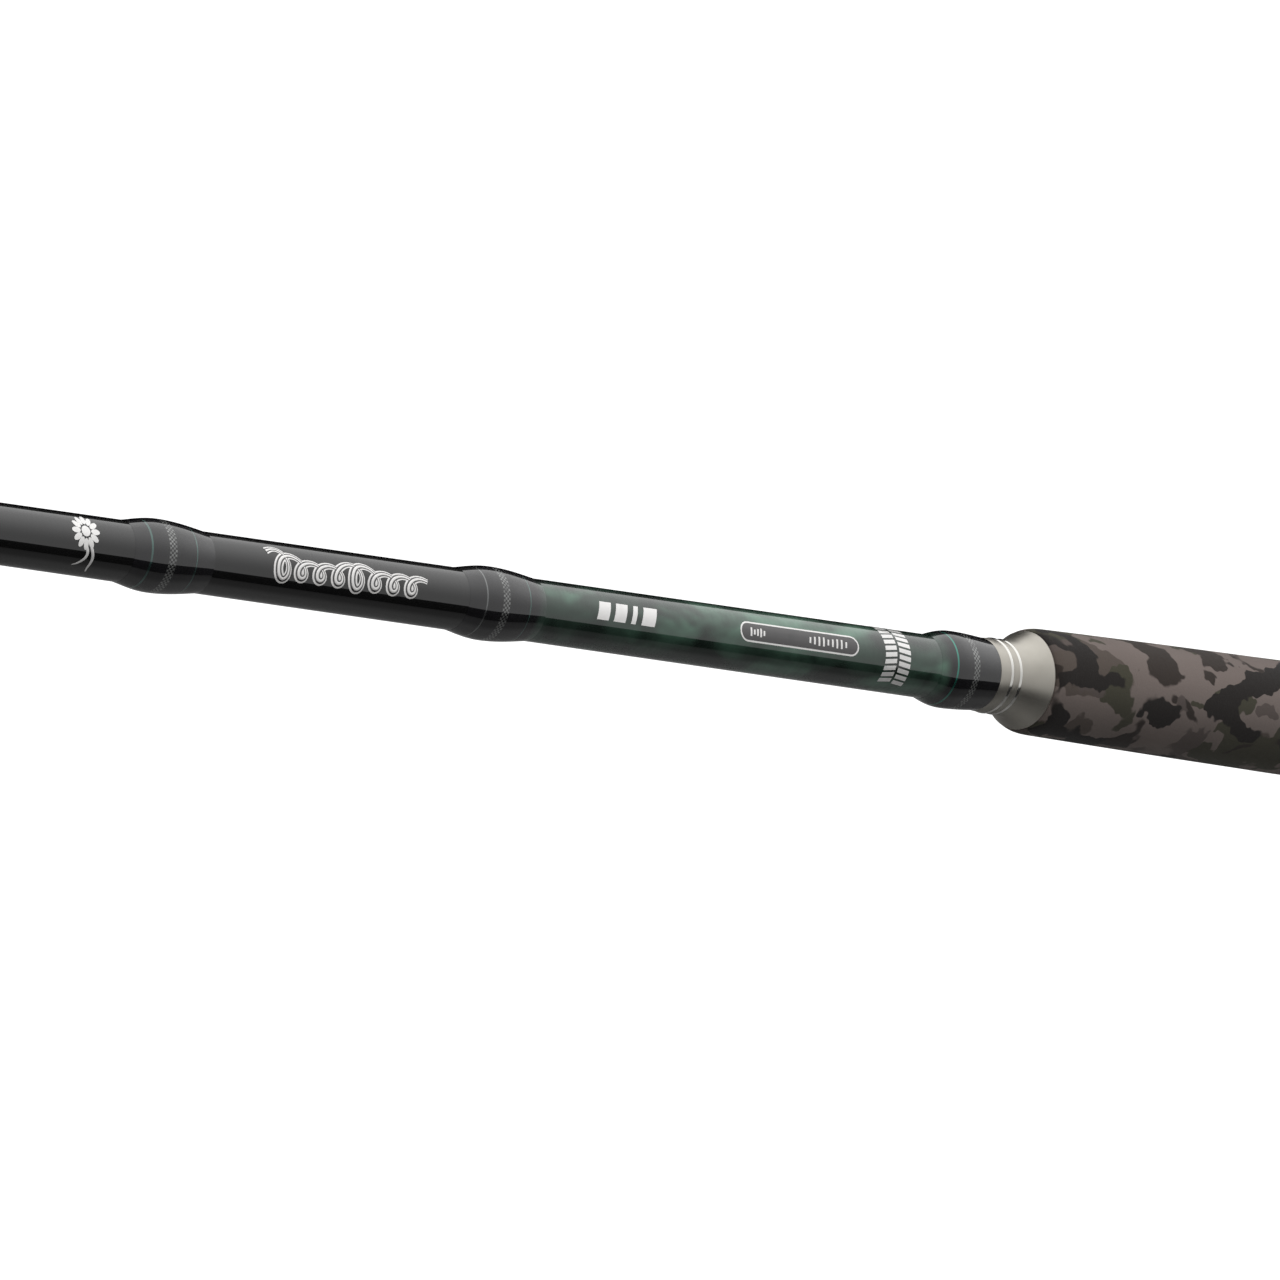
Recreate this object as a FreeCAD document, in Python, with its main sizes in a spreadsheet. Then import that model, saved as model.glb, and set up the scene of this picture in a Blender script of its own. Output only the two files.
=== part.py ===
import FreeCAD, Part
import math
import os

import Sketcher

# A two-piece spinning rod for heavy predators, 2.1 m long, joined by a ferrule near its middle.
# The rod lies along X with its tip towards -X and its butt towards +X. The guides hang under it, along -Z.
# A station is a distance along the rod from the butt's end, and the frame's origin is at the middle of
# the straight stretch of the rear grip, on the rod's axis.

doc = FreeCAD.newDocument("spinning_rod")
sheet = doc.addObject("Spreadsheet::Sheet", "Sizes")

SIZES = {
    # blank: the two tapered carbon tubes
    "butt_section_length": 1100,
    "tip_section_length": 1072,
    "ferrule_overlap": 72,
    "ferrule_clearance": 0.03,
    "ferrule_end_gap": 2,
    "blank_butt_radius": 8.9,
    "blank_nose_radius": 8.21,
    "blank_taper": 0.0047,
    "blank_wall": 1.3,
    "ferrule_wall": 1.2,
    "tip_radius": 1.6,
    "tip_bore_radius": 0.8,
    # butt cap and its trim ring
    "cap_length": 20,
    "cap_floor": 5,
    "cap_radius": 14.8,
    "cap_corner": 4,
    "butt_ring_length": 5,
    "grip_radius": 15,
    "ring_bevel": 0.4,
    # rear grip
    "grip_edge": 1,
    "grip_straight": 188,
    "grip_waist_length": 126,
    "grip_waist_radius": 13.9,
    "grip_waist_dip": 0.7,
    # reel seat
    "stop_ring_length": 8,
    "stop_ring_radius": 15.2,
    "seat_length": 118,
    "seat_radius": 12,
    "seat_wall": 1.6,
    "arbor_length": 20,
    "arbor_inset": 6,
    "screw_pitch": 2.5,
    "screw_depth": 0.7,
    "screw_start": 1,
    "screw_mouth_half": 0.85,
    "screw_root_half": 0.25,
    "screw_overcut": 0.3,
    "screw_length": 42,
    "key_width": 3,
    "key_depth": 0.9,
    "key_clearance": 0.15,
    "key_end_gap": 2,
    "slide_clearance": 0.06,
    "nut_gap": 2,
    "nut_length": 14,
    "nut_height": 3,
    "nut_flute_radius": 2.2,
    "nut_flute_depth": 0.8,
    "nut_flutes": 14,
    "washer_length": 1.5,
    "washer_height": 2.2,
    "hood_length": 22,
    "hood_height": 2.2,
    "hood_depth": 8,
    "hood_half_width": 10.6,
    "hood_corner": 5,
    "hood_slope": 5,
    "hood_wall": 1.6,
    "pocket_depth": 16,
    "pocket_corner": 3.4,
    "liner_thickness": 0.8,
    "liner_length": 15,
    "hood_travel": 24,
    "seat_ring_length": 4,
    "seat_ring_radius": 14.6,
    # foregrip
    "foregrip_length": 150,
    "foregrip_lip_radius": 12.7,
    "foregrip_lip_length": 3.2,
    "foregrip_lip_crown": 0.36,
    "foregrip_front_radius": 13.75,
    "foregrip_swell_at": 86,
    "foregrip_swell_radius": 15.15,
    "foregrip_rear_radius": 14.8,
    "foregrip_swell_crown": 0.4,
    # turned metal check in front of the foregrip
    "check_flange_radius": 12.8,
    "check_flange_rim": 0.8,
    "check_spigot_radius": 11.6,
    "check_spigot_length": 4,
    "check_nose_length": 15.4,
    "check_nose_height": 1.19,
    "check_bead_1": 11.5,
    "check_bead_2": 8.4,
    "check_shank_height": 1.34,
    "check_bead_half_width": 0.45,
    "check_bead_rise": 0.225,
    "check_flare_at": 5.3,
    "check_flare_height": 1.79,
    "check_flare_hollow": 0.35,
    # trim wraps: thread with inlaid bands under a crown of epoxy
    "thread_thickness": 0.3,
    "wrap_crown": 1.0,
    "wrap_1_length": 19.6,
    "wrap_1_peak": 11.8,
    "wrap_1_peak_height": 1.69,
    "wrap_1_nose_height": 1.09,
    "wrap_1_braid_at": 23.4,
    "wrap_1_band_at": 29.9,
    "wrap_2_at": 163,
    "wrap_2_length": 24,
    "wrap_2_first_band_at": 6.6,
    "wrap_2_braid_at": 13.8,
    "wrap_2_last_band_at": 19.3,
    "wrap_3_at": 258,
    "wrap_3_length": 23,
    "wrap_3_first_band_at": 4.6,
    "wrap_3_braid_at": 13,
    "wrap_3_last_band_at": 18.9,
    "wrap_edge": 1.5,
    "wrap_end_height": 0.1,
    "wrap_swell": 0.4,
    "wrap_1_swell": 0.22,
    "band_width": 0.8,
    "braid_width": 2,
    # ferrule wraps
    "ferrule_wrap_length": 46,
    "ferrule_wrap_crown": 0.7,
    "stop_wrap_length": 9,
    "stop_wrap_gap": 6,
    # guides
    "frame_thickness": 1.3,
    "leg_thickness": 1.6,
    "leg_inset": 0.15,
    "leg_straight": 2.6,
    "holder_wall": 0.8,
    "ring_proud": 0.1,
    "ring_side": 0.5,
    "holder_crown": 0.4,
    "foot_tip_thickness": 0.35,
    "foot_clearance": 0.02,
    "wrap_cover": 0.4,
    "wrap_overrun": 3,
    "wrap_start": 1.5,
    "wrap_near_drop": 0.2,
    "wrap_far_drop": 0.5,
    "guide_wrap_swell": 0.4,
    "leg_strut_share": 0.6,
    "leg_crotch_share": 0.8,
    "prop_gap": 0.2,
    "guide_1_from_ferrule": 53,
    # tip-top
    "top_tube_wall": 0.6,
    "top_tube_length": 15,
    "top_tube_floor": 1.2,
    "top_wrap_length": 10,
    "top_wrap_crown": 0.5,
    "top_clearance": 0.12,
    "top_sink": 0.5,
    "top_strut_share": 0.8,
    # how far a cutting shape runs past what it cuts
    "cut_margin": 1,
    "core_margin": 5,
}

# Each guide: its distance from the tip, ring's outer radius, hole, height of the ring's centre above the
# blank, reach of the double and the single leg along the rod, length, thickness and width of its feet.
GUIDE_COLUMNS = ["from_tip", "ring", "hole", "stand", "run", "prop_run", "foot", "foot_height", "foot_width"]
GUIDES = {
    "guide_1": [0, 14, 12.2, 27.5, 15, 12, 15, 1, 3.4],
    "guide_2": [790, 11.5, 9.9, 23, 13, 10.5, 13, 0.9, 3.2],
    "guide_3": [610, 9.1, 7.6, 18.5, 11, 9, 12, 0.8, 2.8],
    "guide_4": [455, 7.2, 5.8, 15, 9, 7.5, 11, 0.8, 2.6],
    "guide_5": [320, 5.4, 4.2, 11.5, 7.5, 6, 9.5, 0.7, 2.2],
    "guide_6": [200, 5.4, 4.2, 11.5, 7.5, 6, 9.5, 0.7, 2.2],
    "guide_7": [95, 5.4, 4.2, 11.5, 7.5, 6, 9.5, 0.7, 2.2],
    "tip_top": [2, 5.4, 4.2, 0, 9, 0, 4, 0, 2.6],
}
for guide, row in GUIDES.items():
    for column, number in zip(GUIDE_COLUMNS, row):
        if number:
            SIZES[f"{guide}_{column}"] = number

for line, (alias, number) in enumerate(SIZES.items(), start=1):
    sheet.set(f"A{line}", alias)
    sheet.set(f"B{line}", str(number))
    sheet.setAlias(f"B{line}", alias)
doc.recompute()

pieces = {}


def value(expression):
    """The number that an expression on the sheet's cells gives now."""
    return float(sheet.evalExpression(expression))


def cells(text):
    """Puts the sheet's name before each alias in an expression."""
    words = []
    word = ""
    for letter in text + " ":
        if letter.isalnum() or letter == "_":
            word += letter
        else:
            words.append(f"Sizes.{word}" if word in SIZES else word)
            words.append(letter)
            word = ""
    return "".join(words).strip()


# ---- stations along the rod, as expressions on the sheet ----

ORIGIN = "(cap_length + butt_ring_length + grip_edge + grip_straight / 2)"
GRIP_START = "(cap_length + butt_ring_length)"
GRIP_END = f"({GRIP_START} + grip_edge + grip_straight + grip_waist_length)"
SEAT_START = f"({GRIP_END} + stop_ring_length)"
SEAT_END = f"({SEAT_START} + seat_length)"
FOREGRIP_START = f"({SEAT_END} + seat_ring_length)"
FLANGE = f"({FOREGRIP_START} + foregrip_length)"
NOSE = f"({FLANGE} + check_nose_length)"
FERRULE = "(butt_section_length - ferrule_overlap)"
TIP = f"({FERRULE} + tip_section_length)"

# ---- radii that follow another piece ----

SEAT_BORE = "(seat_radius - seat_wall)"
NUT_RADIUS = "(seat_radius + nut_height)"
WASHER_RADIUS = "(seat_radius + washer_height)"
HOOD_RADIUS = "(seat_radius + hood_height)"
HOOD_DROP = "(seat_radius + hood_depth)"


def along(station):
    """The X coordinate of a station."""
    return f"{ORIGIN} - ({station})"


def handle_radius(station):
    """The blank's radius inside the handle, from the butt to the check's nose."""
    return f"blank_butt_radius - (blank_butt_radius - blank_nose_radius) * ({station}) / {NOSE}"


def butt_radius(station):
    """The blank's radius from the check's nose to the end of the butt section."""
    return f"blank_nose_radius - blank_taper * ({station} - {NOSE})"


def tip_section_radius(station):
    """The radius of the tip section, which starts over the butt section at the ferrule."""
    base = f"({butt_radius(FERRULE)} + ferrule_clearance + ferrule_wall)"
    return f"{base} - ({base} - tip_radius) * ({station} - {FERRULE}) / tip_section_length"


# ---- how pieces are made ----


def origin_plane(body, role):
    return next(feature for feature in body.Origin.OriginFeatures if feature.Role == role)


def new_body(label):
    body = doc.addObject("PartDesign::Body", label)
    body.AllowCompound = True
    return body


def new_sketch(body, name, plane="XZ_Plane"):
    sketch = body.newObject("Sketcher::SketchObject", f"{body.Name}_{name}")
    sketch.AttachmentSupport = (origin_plane(body, plane), "")
    sketch.MapMode = "FlatFace"
    return sketch


def bind(sketch, kind, first, second, expression):
    """A sketch dimension that follows an expression."""
    places = [*first, *second] if second else [*first]
    constraint = sketch.addConstraint(Sketcher.Constraint(kind, *places, value(expression)))
    sketch.setExpression(f"Constraints[{constraint}]", expression)


def add_outline(sketch, corners):
    """A closed outline. Each corner is (x, y) or (x, y, bulge), where the bulge is how far the edge to
    the next corner swells outwards as an arc, and a negative one hollows it."""
    start = len(sketch.Geometry)
    count = len(corners)
    exact = [[cells(part) for part in corner] for corner in corners]
    points = [FreeCAD.Vector(value(corner[0]), value(corner[1]), 0) for corner in exact]
    turning = sum(points[i - 1].x * points[i].y - points[i].x * points[i - 1].y for i in range(count))
    outwards = -math.copysign(1, turning)
    begins, ends, radii = [], [], []
    for i in range(count):
        here, there = points[i], points[(i + 1) % count]
        if len(exact[i]) < 3:
            sketch.addGeometry(Part.LineSegment(here, there))
            begins.append((start + i, 1))
            ends.append((start + i, 2))
            continue
        to_left = value(exact[i][2]) * outwards
        bulge = abs(to_left)
        chord = there - here
        radius = chord.Length ** 2 / (8 * bulge) + bulge / 2
        left = FreeCAD.Vector(-chord.y, chord.x, 0).normalize() * math.copysign(1, to_left)
        centre = (here + there) / 2 - left * (radius - bulge)
        first, last = (there, here) if to_left > 0 else (here, there)
        angle_1 = math.atan2(first.y - centre.y, first.x - centre.x)
        angle_2 = math.atan2(last.y - centre.y, last.x - centre.x)
        circle = Part.Circle(centre, FreeCAD.Vector(0, 0, 1), radius)
        sketch.addGeometry(Part.ArcOfCircle(circle, angle_1, angle_2))
        begins.append((start + i, 2 if to_left > 0 else 1))
        ends.append((start + i, 1 if to_left > 0 else 2))
        after = exact[(i + 1) % count]
        across = f"(({after[0]}) - ({exact[i][0]}))"
        up = f"(({after[1]}) - ({exact[i][1]}))"
        size = f"abs({exact[i][2]})"
        radii.append((start + i, f"({across} ^ 2 + {up} ^ 2) / (8 * {size}) + {size} / 2"))
    for i in range(count):
        sketch.addConstraint(Sketcher.Constraint("Coincident", *ends[i], *begins[(i + 1) % count]))
    for i in range(count):
        bind(sketch, "DistanceX", (-1, 1), begins[i], exact[i][0])
        bind(sketch, "DistanceY", (-1, 1), begins[i], exact[i][1])
    for geometry, expression in radii:
        bind(sketch, "Radius", (geometry,), None, expression)


def add_circle(sketch, centre_y, radius):
    """A circle on the sketch's vertical axis."""
    place, size = cells(centre_y), cells(radius)
    centre = FreeCAD.Vector(0, value(place), 0)
    circle = sketch.addGeometry(Part.Circle(centre, FreeCAD.Vector(0, 0, 1), value(size)))
    bind(sketch, "DistanceX", (-1, 1), (circle, 3), "0")
    bind(sketch, "DistanceY", (-1, 1), (circle, 3), place)
    bind(sketch, "Radius", (circle,), None, size)


def revolve(body, name, outlines, kind="PartDesign::Revolution"):
    """Outlines of (x, radius) turned about the body's own X axis."""
    sketch = new_sketch(body, f"{name}_outline")
    for corners in outlines:
        add_outline(sketch, corners)
    feature = body.newObject(kind, f"{body.Name}_{name}")
    feature.Profile = sketch
    feature.ReferenceAxis = (sketch, ["H_Axis"])
    feature.Angle = 360
    return feature


def extrude(body, name, plane, draw, length=None, start="0", kind="PartDesign::Pad", both_ways=False):
    """A sketch padded or pocketed at right angles to its plane, from start along the plane's normal."""
    sketch = new_sketch(body, f"{name}_outline", plane)
    draw(sketch)
    if start != "0":
        sketch.setExpression("AttachmentOffset.Base.z", cells(start))
    feature = body.newObject(kind, f"{body.Name}_{name}")
    feature.Profile = sketch
    if length is None:
        feature.Type = "ThroughAll"
    else:
        feature.setExpression("Length", cells(length))
    feature.Midplane = both_ways
    return feature


def turned(label, *outlines):
    """A piece turned about the rod's axis, from outlines of (station, radius)."""
    body = new_body(label)
    placed = [[(along(corner[0]), *corner[1:]) for corner in corners] for corners in outlines]
    revolve(body, "turned", placed)
    pieces[label] = body
    return body


def sleeve(start, end, inner, outer_start, outer_end):
    """The outline of a plain sleeve, whose bore follows the inner radius."""
    return [
        (start, inner(start)),
        (start, outer_start),
        (end, outer_end),
        (end, inner(end)),
    ]


def cut(label, base, *tools):
    """A piece that has the shapes of other objects taken out of it."""
    result = base
    for number, tool in enumerate(tools, start=1):
        name = label if number == len(tools) else f"{label}_cut_{number}"
        feature = doc.addObject("Part::Cut", name)
        feature.Base = result
        feature.Tool = tool
        result = feature
    pieces[label] = result
    return result


# ---- blank ----


def make_blank():
    male_end = "butt_section_length"
    turned(
        "butt_blank",
        [
            ("cap_floor", handle_radius("cap_floor")),
            (NOSE, "blank_nose_radius"),
            (male_end, butt_radius(male_end)),
            (male_end, f"{butt_radius(male_end)} - blank_wall"),
            (NOSE, "blank_nose_radius - blank_wall"),
            ("cap_floor", f"{handle_radius('cap_floor')} - blank_wall"),
        ],
    )
    socket_end = f"({male_end} + ferrule_end_gap)"
    turned(
        "tip_blank",
        [
            (FERRULE, f"{butt_radius(FERRULE)} + ferrule_clearance"),
            (FERRULE, tip_section_radius(FERRULE)),
            (TIP, "tip_radius"),
            (TIP, "tip_bore_radius"),
            (socket_end, f"{butt_radius(socket_end)} + ferrule_clearance"),
        ],
    )


# ---- handle ----


def make_butt_end():
    turned(
        "butt_cap",
        [
            ("0", "0"),
            ("0", "cap_radius - cap_corner", "cap_corner * (1 - sqrt(0.5))"),
            ("cap_corner", "cap_radius"),
            ("cap_length", "cap_radius"),
            ("cap_length", handle_radius("cap_length")),
            ("cap_floor", handle_radius("cap_floor")),
            ("cap_floor", "0"),
        ],
    )
    turned("butt_trim_ring", ring_outline("cap_length", GRIP_START, "grip_radius"))


def ring_outline(start, end, radius):
    """A bevelled trim ring that sits on the blank inside the handle."""
    return [
        (start, handle_radius(start)),
        (start, f"{radius} - ring_bevel"),
        (f"{start} + ring_bevel", radius),
        (f"{end} - ring_bevel", radius),
        (end, f"{radius} - ring_bevel"),
        (end, handle_radius(end)),
    ]


def make_grips():
    straight_start = f"({GRIP_START} + grip_edge)"
    straight_end = f"({straight_start} + grip_straight)"
    turned(
        "rear_grip",
        [
            (GRIP_START, handle_radius(GRIP_START)),
            (GRIP_START, "grip_radius - grip_edge"),
            (straight_start, "grip_radius"),
            (straight_end, "grip_radius", "-grip_waist_dip"),
            (f"{GRIP_END} - grip_edge", "grip_waist_radius"),
            (GRIP_END, "grip_waist_radius - grip_edge"),
            (GRIP_END, handle_radius(GRIP_END)),
        ],
    )
    lip = f"({FLANGE} - check_flange_rim)"
    spigot_end = f"({FLANGE} - check_flange_rim - check_spigot_length)"
    swell = f"({FLANGE} - foregrip_swell_at)"
    front = f"({lip} - foregrip_lip_length)"
    turned(
        "foregrip",
        [
            (FOREGRIP_START, handle_radius(FOREGRIP_START)),
            (FOREGRIP_START, "foregrip_rear_radius - grip_edge"),
            (f"{FOREGRIP_START} + grip_edge", "foregrip_rear_radius", "foregrip_swell_crown"),
            (swell, "foregrip_swell_radius"),
            (front, "foregrip_front_radius", "foregrip_lip_crown"),
            (lip, "foregrip_lip_radius"),
            (lip, "check_spigot_radius"),
            (spigot_end, "check_spigot_radius"),
            (spigot_end, handle_radius(spigot_end)),
        ],
    )


def make_front_check():
    """The winding check: a turned flange with two polished beads and a nose that meets the first wrap."""
    spigot_end = f"({FLANGE} - check_flange_rim - check_spigot_length)"
    lip = f"({FLANGE} - check_flange_rim)"
    corners = [
        (spigot_end, handle_radius(spigot_end)),
        (spigot_end, "check_spigot_radius"),
        (lip, "check_spigot_radius"),
        (lip, "check_flange_radius"),
        (FLANGE, "check_flange_radius", "-check_flare_hollow"),
        (f"{FLANGE} + check_flare_at", "blank_nose_radius + check_flare_height"),
    ]
    for bead in ["check_bead_2", "check_bead_1"]:
        at = f"{FLANGE} + {bead}"
        base = "blank_nose_radius + check_shank_height"
        corners += [
            (f"{at} - check_bead_half_width", base, "check_bead_rise"),
            (f"{at} + check_bead_half_width", base),
        ]
    corners += [
        (f"{NOSE} - ring_bevel", "blank_nose_radius + check_nose_height"),
        (NOSE, "blank_nose_radius + check_nose_height - ring_bevel"),
        (NOSE, "blank_nose_radius"),
    ]
    turned("front_check", corners)


# ---- reel seat ----


def make_seat_barrel():
    body = new_body("seat_barrel")
    outline = [
        (along(SEAT_START), SEAT_BORE),
        (along(SEAT_START), "seat_radius"),
        (along(SEAT_END), "seat_radius"),
        (along(SEAT_END), SEAT_BORE),
    ]
    revolve(body, "tube", [outline])
    doc.recompute()
    groove = new_sketch(body, "screw_outline")
    at = f"{ORIGIN} - ({SEAT_START}) - nut_gap / 2 - screw_start"
    add_outline(
        groove,
        [
            (f"{at} + screw_mouth_half", "seat_radius + screw_overcut"),
            (f"{at} + screw_root_half", "seat_radius - screw_depth"),
            (f"{at} - screw_root_half", "seat_radius - screw_depth"),
            (f"{at} - screw_mouth_half", "seat_radius + screw_overcut"),
        ],
    )
    screw = body.newObject("PartDesign::SubtractiveHelix", "seat_barrel_screw")
    screw.Profile = groove
    screw.ReferenceAxis = (groove, ["H_Axis"])
    screw.Mode = 0
    screw.Reversed = True
    screw.setExpression("Pitch", cells("screw_pitch"))
    screw.setExpression("Height", cells("screw_length"))
    doc.recompute()

    def keyway(sketch):
        add_outline(sketch, [
            ("-key_width / 2", "seat_radius - key_depth"),
            ("key_width / 2", "seat_radius - key_depth"),
            ("key_width / 2", "seat_radius + cut_margin"),
            ("-key_width / 2", "seat_radius + cut_margin"),
        ])

    length = "nut_gap + nut_length + washer_length + hood_length + hood_travel + key_end_gap"
    start = f"{ORIGIN} - ({SEAT_START}) - ({length})"
    slot = extrude(body, "keyway", "YZ_Plane", keyway, f"{length} + cut_margin", start, "PartDesign::Pocket")
    slot.Reversed = True
    pieces["seat_barrel"] = body


def make_seat_fittings():
    turned("stop_ring", ring_outline(GRIP_END, SEAT_START, "stop_ring_radius"))
    turned("seat_trim_ring", ring_outline(SEAT_END, FOREGRIP_START, "seat_ring_radius"))
    arbors = []
    for start in [
        f"({SEAT_START} + arbor_inset)",
        f"({SEAT_START} + seat_length / 2 - arbor_length / 2)",
        f"({SEAT_END} - arbor_inset - arbor_length)",
    ]:
        end = f"({start} + arbor_length)"
        arbors.append(sleeve(start, end, handle_radius, SEAT_BORE, SEAT_BORE))
    turned("seat_arbors", *arbors)


def draw_drop(half_width, bottom, corner):
    """A U-shaped outline that hangs from the axis to the bottom, with round lower corners."""
    bulge = f"({corner}) * (1 - sqrt(0.5))"

    def draw(sketch):
        add_outline(sketch, [
            (f"-({half_width})", "0"),
            (f"{half_width}", "0"),
            (f"{half_width}", f"-({bottom} - {corner})", bulge),
            (f"{half_width} - {corner}", f"-({bottom})"),
            (f"-({half_width} - {corner})", f"-({bottom})", bulge),
            (f"-({half_width})", f"-({bottom} - {corner})"),
        ])

    return draw


def make_hood(label, rear, bore, pocket_at_rear, with_key):
    """A hood: a collar round the seat, with a hollow below it that takes one end of a reel's foot."""
    body = new_body(label)
    front_x = f"{along(rear)} - hood_length"
    extrude(body, "collar", "YZ_Plane", lambda sketch: add_circle(sketch, "0", HOOD_RADIUS),
            "hood_length", front_x)
    extrude(body, "drop", "YZ_Plane", draw_drop("hood_half_width", HOOD_DROP, "hood_corner"),
            "hood_length", front_x)
    doc.recompute()
    pocket_start = along(rear) if pocket_at_rear else f"{front_x} + pocket_depth"
    hollow = draw_drop("(hood_half_width - hood_wall)", f"({HOOD_DROP} - hood_wall)", "pocket_corner")
    extrude(body, "pocket", "YZ_Plane", hollow, "pocket_depth", pocket_start, "PartDesign::Pocket")
    extrude(body, "bore", "YZ_Plane", lambda sketch: add_circle(sketch, "0", bore),
            "hood_length", along(rear), "PartDesign::Pocket")
    closed_x = front_x if pocket_at_rear else along(rear)
    into = "" if pocket_at_rear else "-"

    def slope(sketch):
        add_outline(sketch, [
            (f"{closed_x} - {into}cut_margin", f"cut_margin / 2 - {HOOD_RADIUS}"),
            (closed_x, f"-{HOOD_RADIUS}"),
            (f"{closed_x} + {into}hood_slope", f"-{HOOD_DROP}"),
            (f"{closed_x} + {into}hood_slope", f"-{HOOD_DROP} - cut_margin"),
            (f"{closed_x} - {into}cut_margin", f"-{HOOD_DROP} - cut_margin"),
        ])

    extrude(body, "slope", "XZ_Plane", slope, kind="PartDesign::Pocket", both_ways=True)
    if with_key:
        doc.recompute()

        def key(sketch):
            add_outline(sketch, [
                ("-(key_width / 2 - key_clearance)", "seat_radius - key_depth + key_clearance"),
                ("key_width / 2 - key_clearance", "seat_radius - key_depth + key_clearance"),
                ("key_width / 2 - key_clearance", "seat_radius + cut_margin"),
                ("-(key_width / 2 - key_clearance)", "seat_radius + cut_margin"),
            ])

        extrude(body, "key", "YZ_Plane", key, "hood_length", front_x)
    pieces[label] = body
    liner = new_body(f"{label}_liner")
    liner_start = f"{along(rear)} - liner_length" if pocket_at_rear else front_x
    extrude(liner, "outside", "YZ_Plane", hollow, "liner_length", liner_start)
    doc.recompute()
    inside = draw_drop(
        "(hood_half_width - hood_wall - liner_thickness)",
        f"({HOOD_DROP} - hood_wall - liner_thickness)",
        "(pocket_corner - liner_thickness)",
    )
    extrude(liner, "inside", "YZ_Plane", inside, "liner_length", f"{liner_start} + liner_length",
            "PartDesign::Pocket")
    top = "seat_radius + liner_thickness"
    extrude(liner, "seat_gap", "YZ_Plane", lambda sketch: add_circle(sketch, "0", top),
            "liner_length", f"{liner_start} + liner_length", "PartDesign::Pocket")
    pieces[f"{label}_liner"] = liner


def make_hoods():
    nut_rear = f"({SEAT_START} + nut_gap)"
    washer_rear = f"({nut_rear} + nut_length)"
    hood_rear = f"({washer_rear} + washer_length)"
    bore = "seat_radius + slide_clearance"
    make_hood("sliding_hood", hood_rear, bore, False, True)
    make_hood("fixed_hood", f"({SEAT_END} - hood_length)", "seat_radius", True, False)
    turned(
        "slip_washer",
        [
            (washer_rear, bore),
            (washer_rear, WASHER_RADIUS),
            (hood_rear, WASHER_RADIUS),
            (hood_rear, bore),
        ],
    )
    nut = turned(
        "lock_nut",
        [
            (nut_rear, bore),
            (nut_rear, f"{NUT_RADIUS} - ring_bevel * 2"),
            (f"{nut_rear} + ring_bevel * 2", NUT_RADIUS),
            (f"{washer_rear} - ring_bevel * 2", NUT_RADIUS),
            (washer_rear, f"{NUT_RADIUS} - ring_bevel * 2"),
            (washer_rear, bore),
        ],
    )
    doc.recompute()
    flute_at = f"{NUT_RADIUS} + nut_flute_radius - nut_flute_depth"
    flute = extrude(
        nut, "flute", "YZ_Plane",
        lambda sketch: add_circle(sketch, flute_at, "nut_flute_radius"),
        "nut_length", along(nut_rear), "PartDesign::Pocket",
    )
    doc.recompute()
    pattern = nut.newObject("PartDesign::PolarPattern", "lock_nut_flutes")
    pattern.Originals = [flute]
    pattern.Axis = (origin_plane(nut, "X_Axis"), [""])
    pattern.Angle = 360
    pattern.setExpression("Occurrences", cells("nut_flutes"))
    nut.Tip = pattern


# ---- wraps on the blank ----


def banded_layer(start, end, bands, radius):
    """Outlines of the thread and of the inlaid bands, side by side in one layer on the blank."""
    thread, inlay = [], []
    place = start
    for at, width in bands:
        outer = f"{radius(place)} + thread_thickness"
        thread.append(sleeve(place, at, radius, outer, f"{radius(at)} + thread_thickness"))
        after = f"({at} + {width})"
        outer = f"{radius(at)} + thread_thickness"
        inlay.append(sleeve(at, after, radius, outer, f"{radius(after)} + thread_thickness"))
        place = after
    outer = f"{radius(place)} + thread_thickness"
    thread.append(sleeve(place, end, radius, outer, f"{radius(end)} + thread_thickness"))
    return thread, inlay


def make_trim_wrap(number, start, end, bands, peak, peak_radius, start_radius, swell):
    """One decorative wrap: thread, its bright bands, and the epoxy crown that is turned over them."""
    edge_end = f"({end} - wrap_edge)"
    edge_start = start if number == 1 else f"({start} + wrap_edge)"
    thread, inlay = banded_layer(edge_start, edge_end, bands, butt_radius)
    turned(f"trim_wrap_{number}_thread", *thread)
    turned(f"trim_wrap_{number}_bands", *inlay)
    coat = [
        (start, start_radius, swell),
        (peak, peak_radius, swell),
        (end, f"{butt_radius(end)} + wrap_end_height"),
        (end, butt_radius(end)),
        (edge_end, butt_radius(edge_end)),
        (edge_end, f"{butt_radius(edge_end)} + thread_thickness"),
        (edge_start, f"{butt_radius(edge_start)} + thread_thickness"),
    ]
    if number > 1:
        coat += [(edge_start, butt_radius(edge_start)), (start, butt_radius(start))]
    turned(f"trim_wrap_{number}_epoxy", coat)


def make_trim_wraps():
    end = f"({NOSE} + wrap_1_length)"
    bands = [
        (f"({FLANGE} + wrap_1_braid_at)", "braid_width"),
        (f"({FLANGE} + wrap_1_band_at)", "band_width"),
    ]
    make_trim_wrap(
        1, NOSE, end, bands, f"({NOSE} + wrap_1_peak)", "blank_nose_radius + wrap_1_peak_height",
        "blank_nose_radius + wrap_1_nose_height", "wrap_1_swell",
    )
    for number in (2, 3):
        wrap = f"wrap_{number}"
        start = f"({FLANGE} + {wrap}_at)"
        end = f"({start} + {wrap}_length)"
        bands = [
            (f"({start} + {wrap}_first_band_at)", "band_width"),
            (f"({start} + {wrap}_braid_at)", "braid_width"),
            (f"({start} + {wrap}_last_band_at)", "band_width"),
        ]
        middle = f"({start} + {wrap}_length / 2)"
        crown = f"{butt_radius(middle)} + wrap_crown"
        low_end = f"{butt_radius(start)} + wrap_end_height"
        make_trim_wrap(number, start, end, bands, middle, crown, low_end, "wrap_swell")


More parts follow.
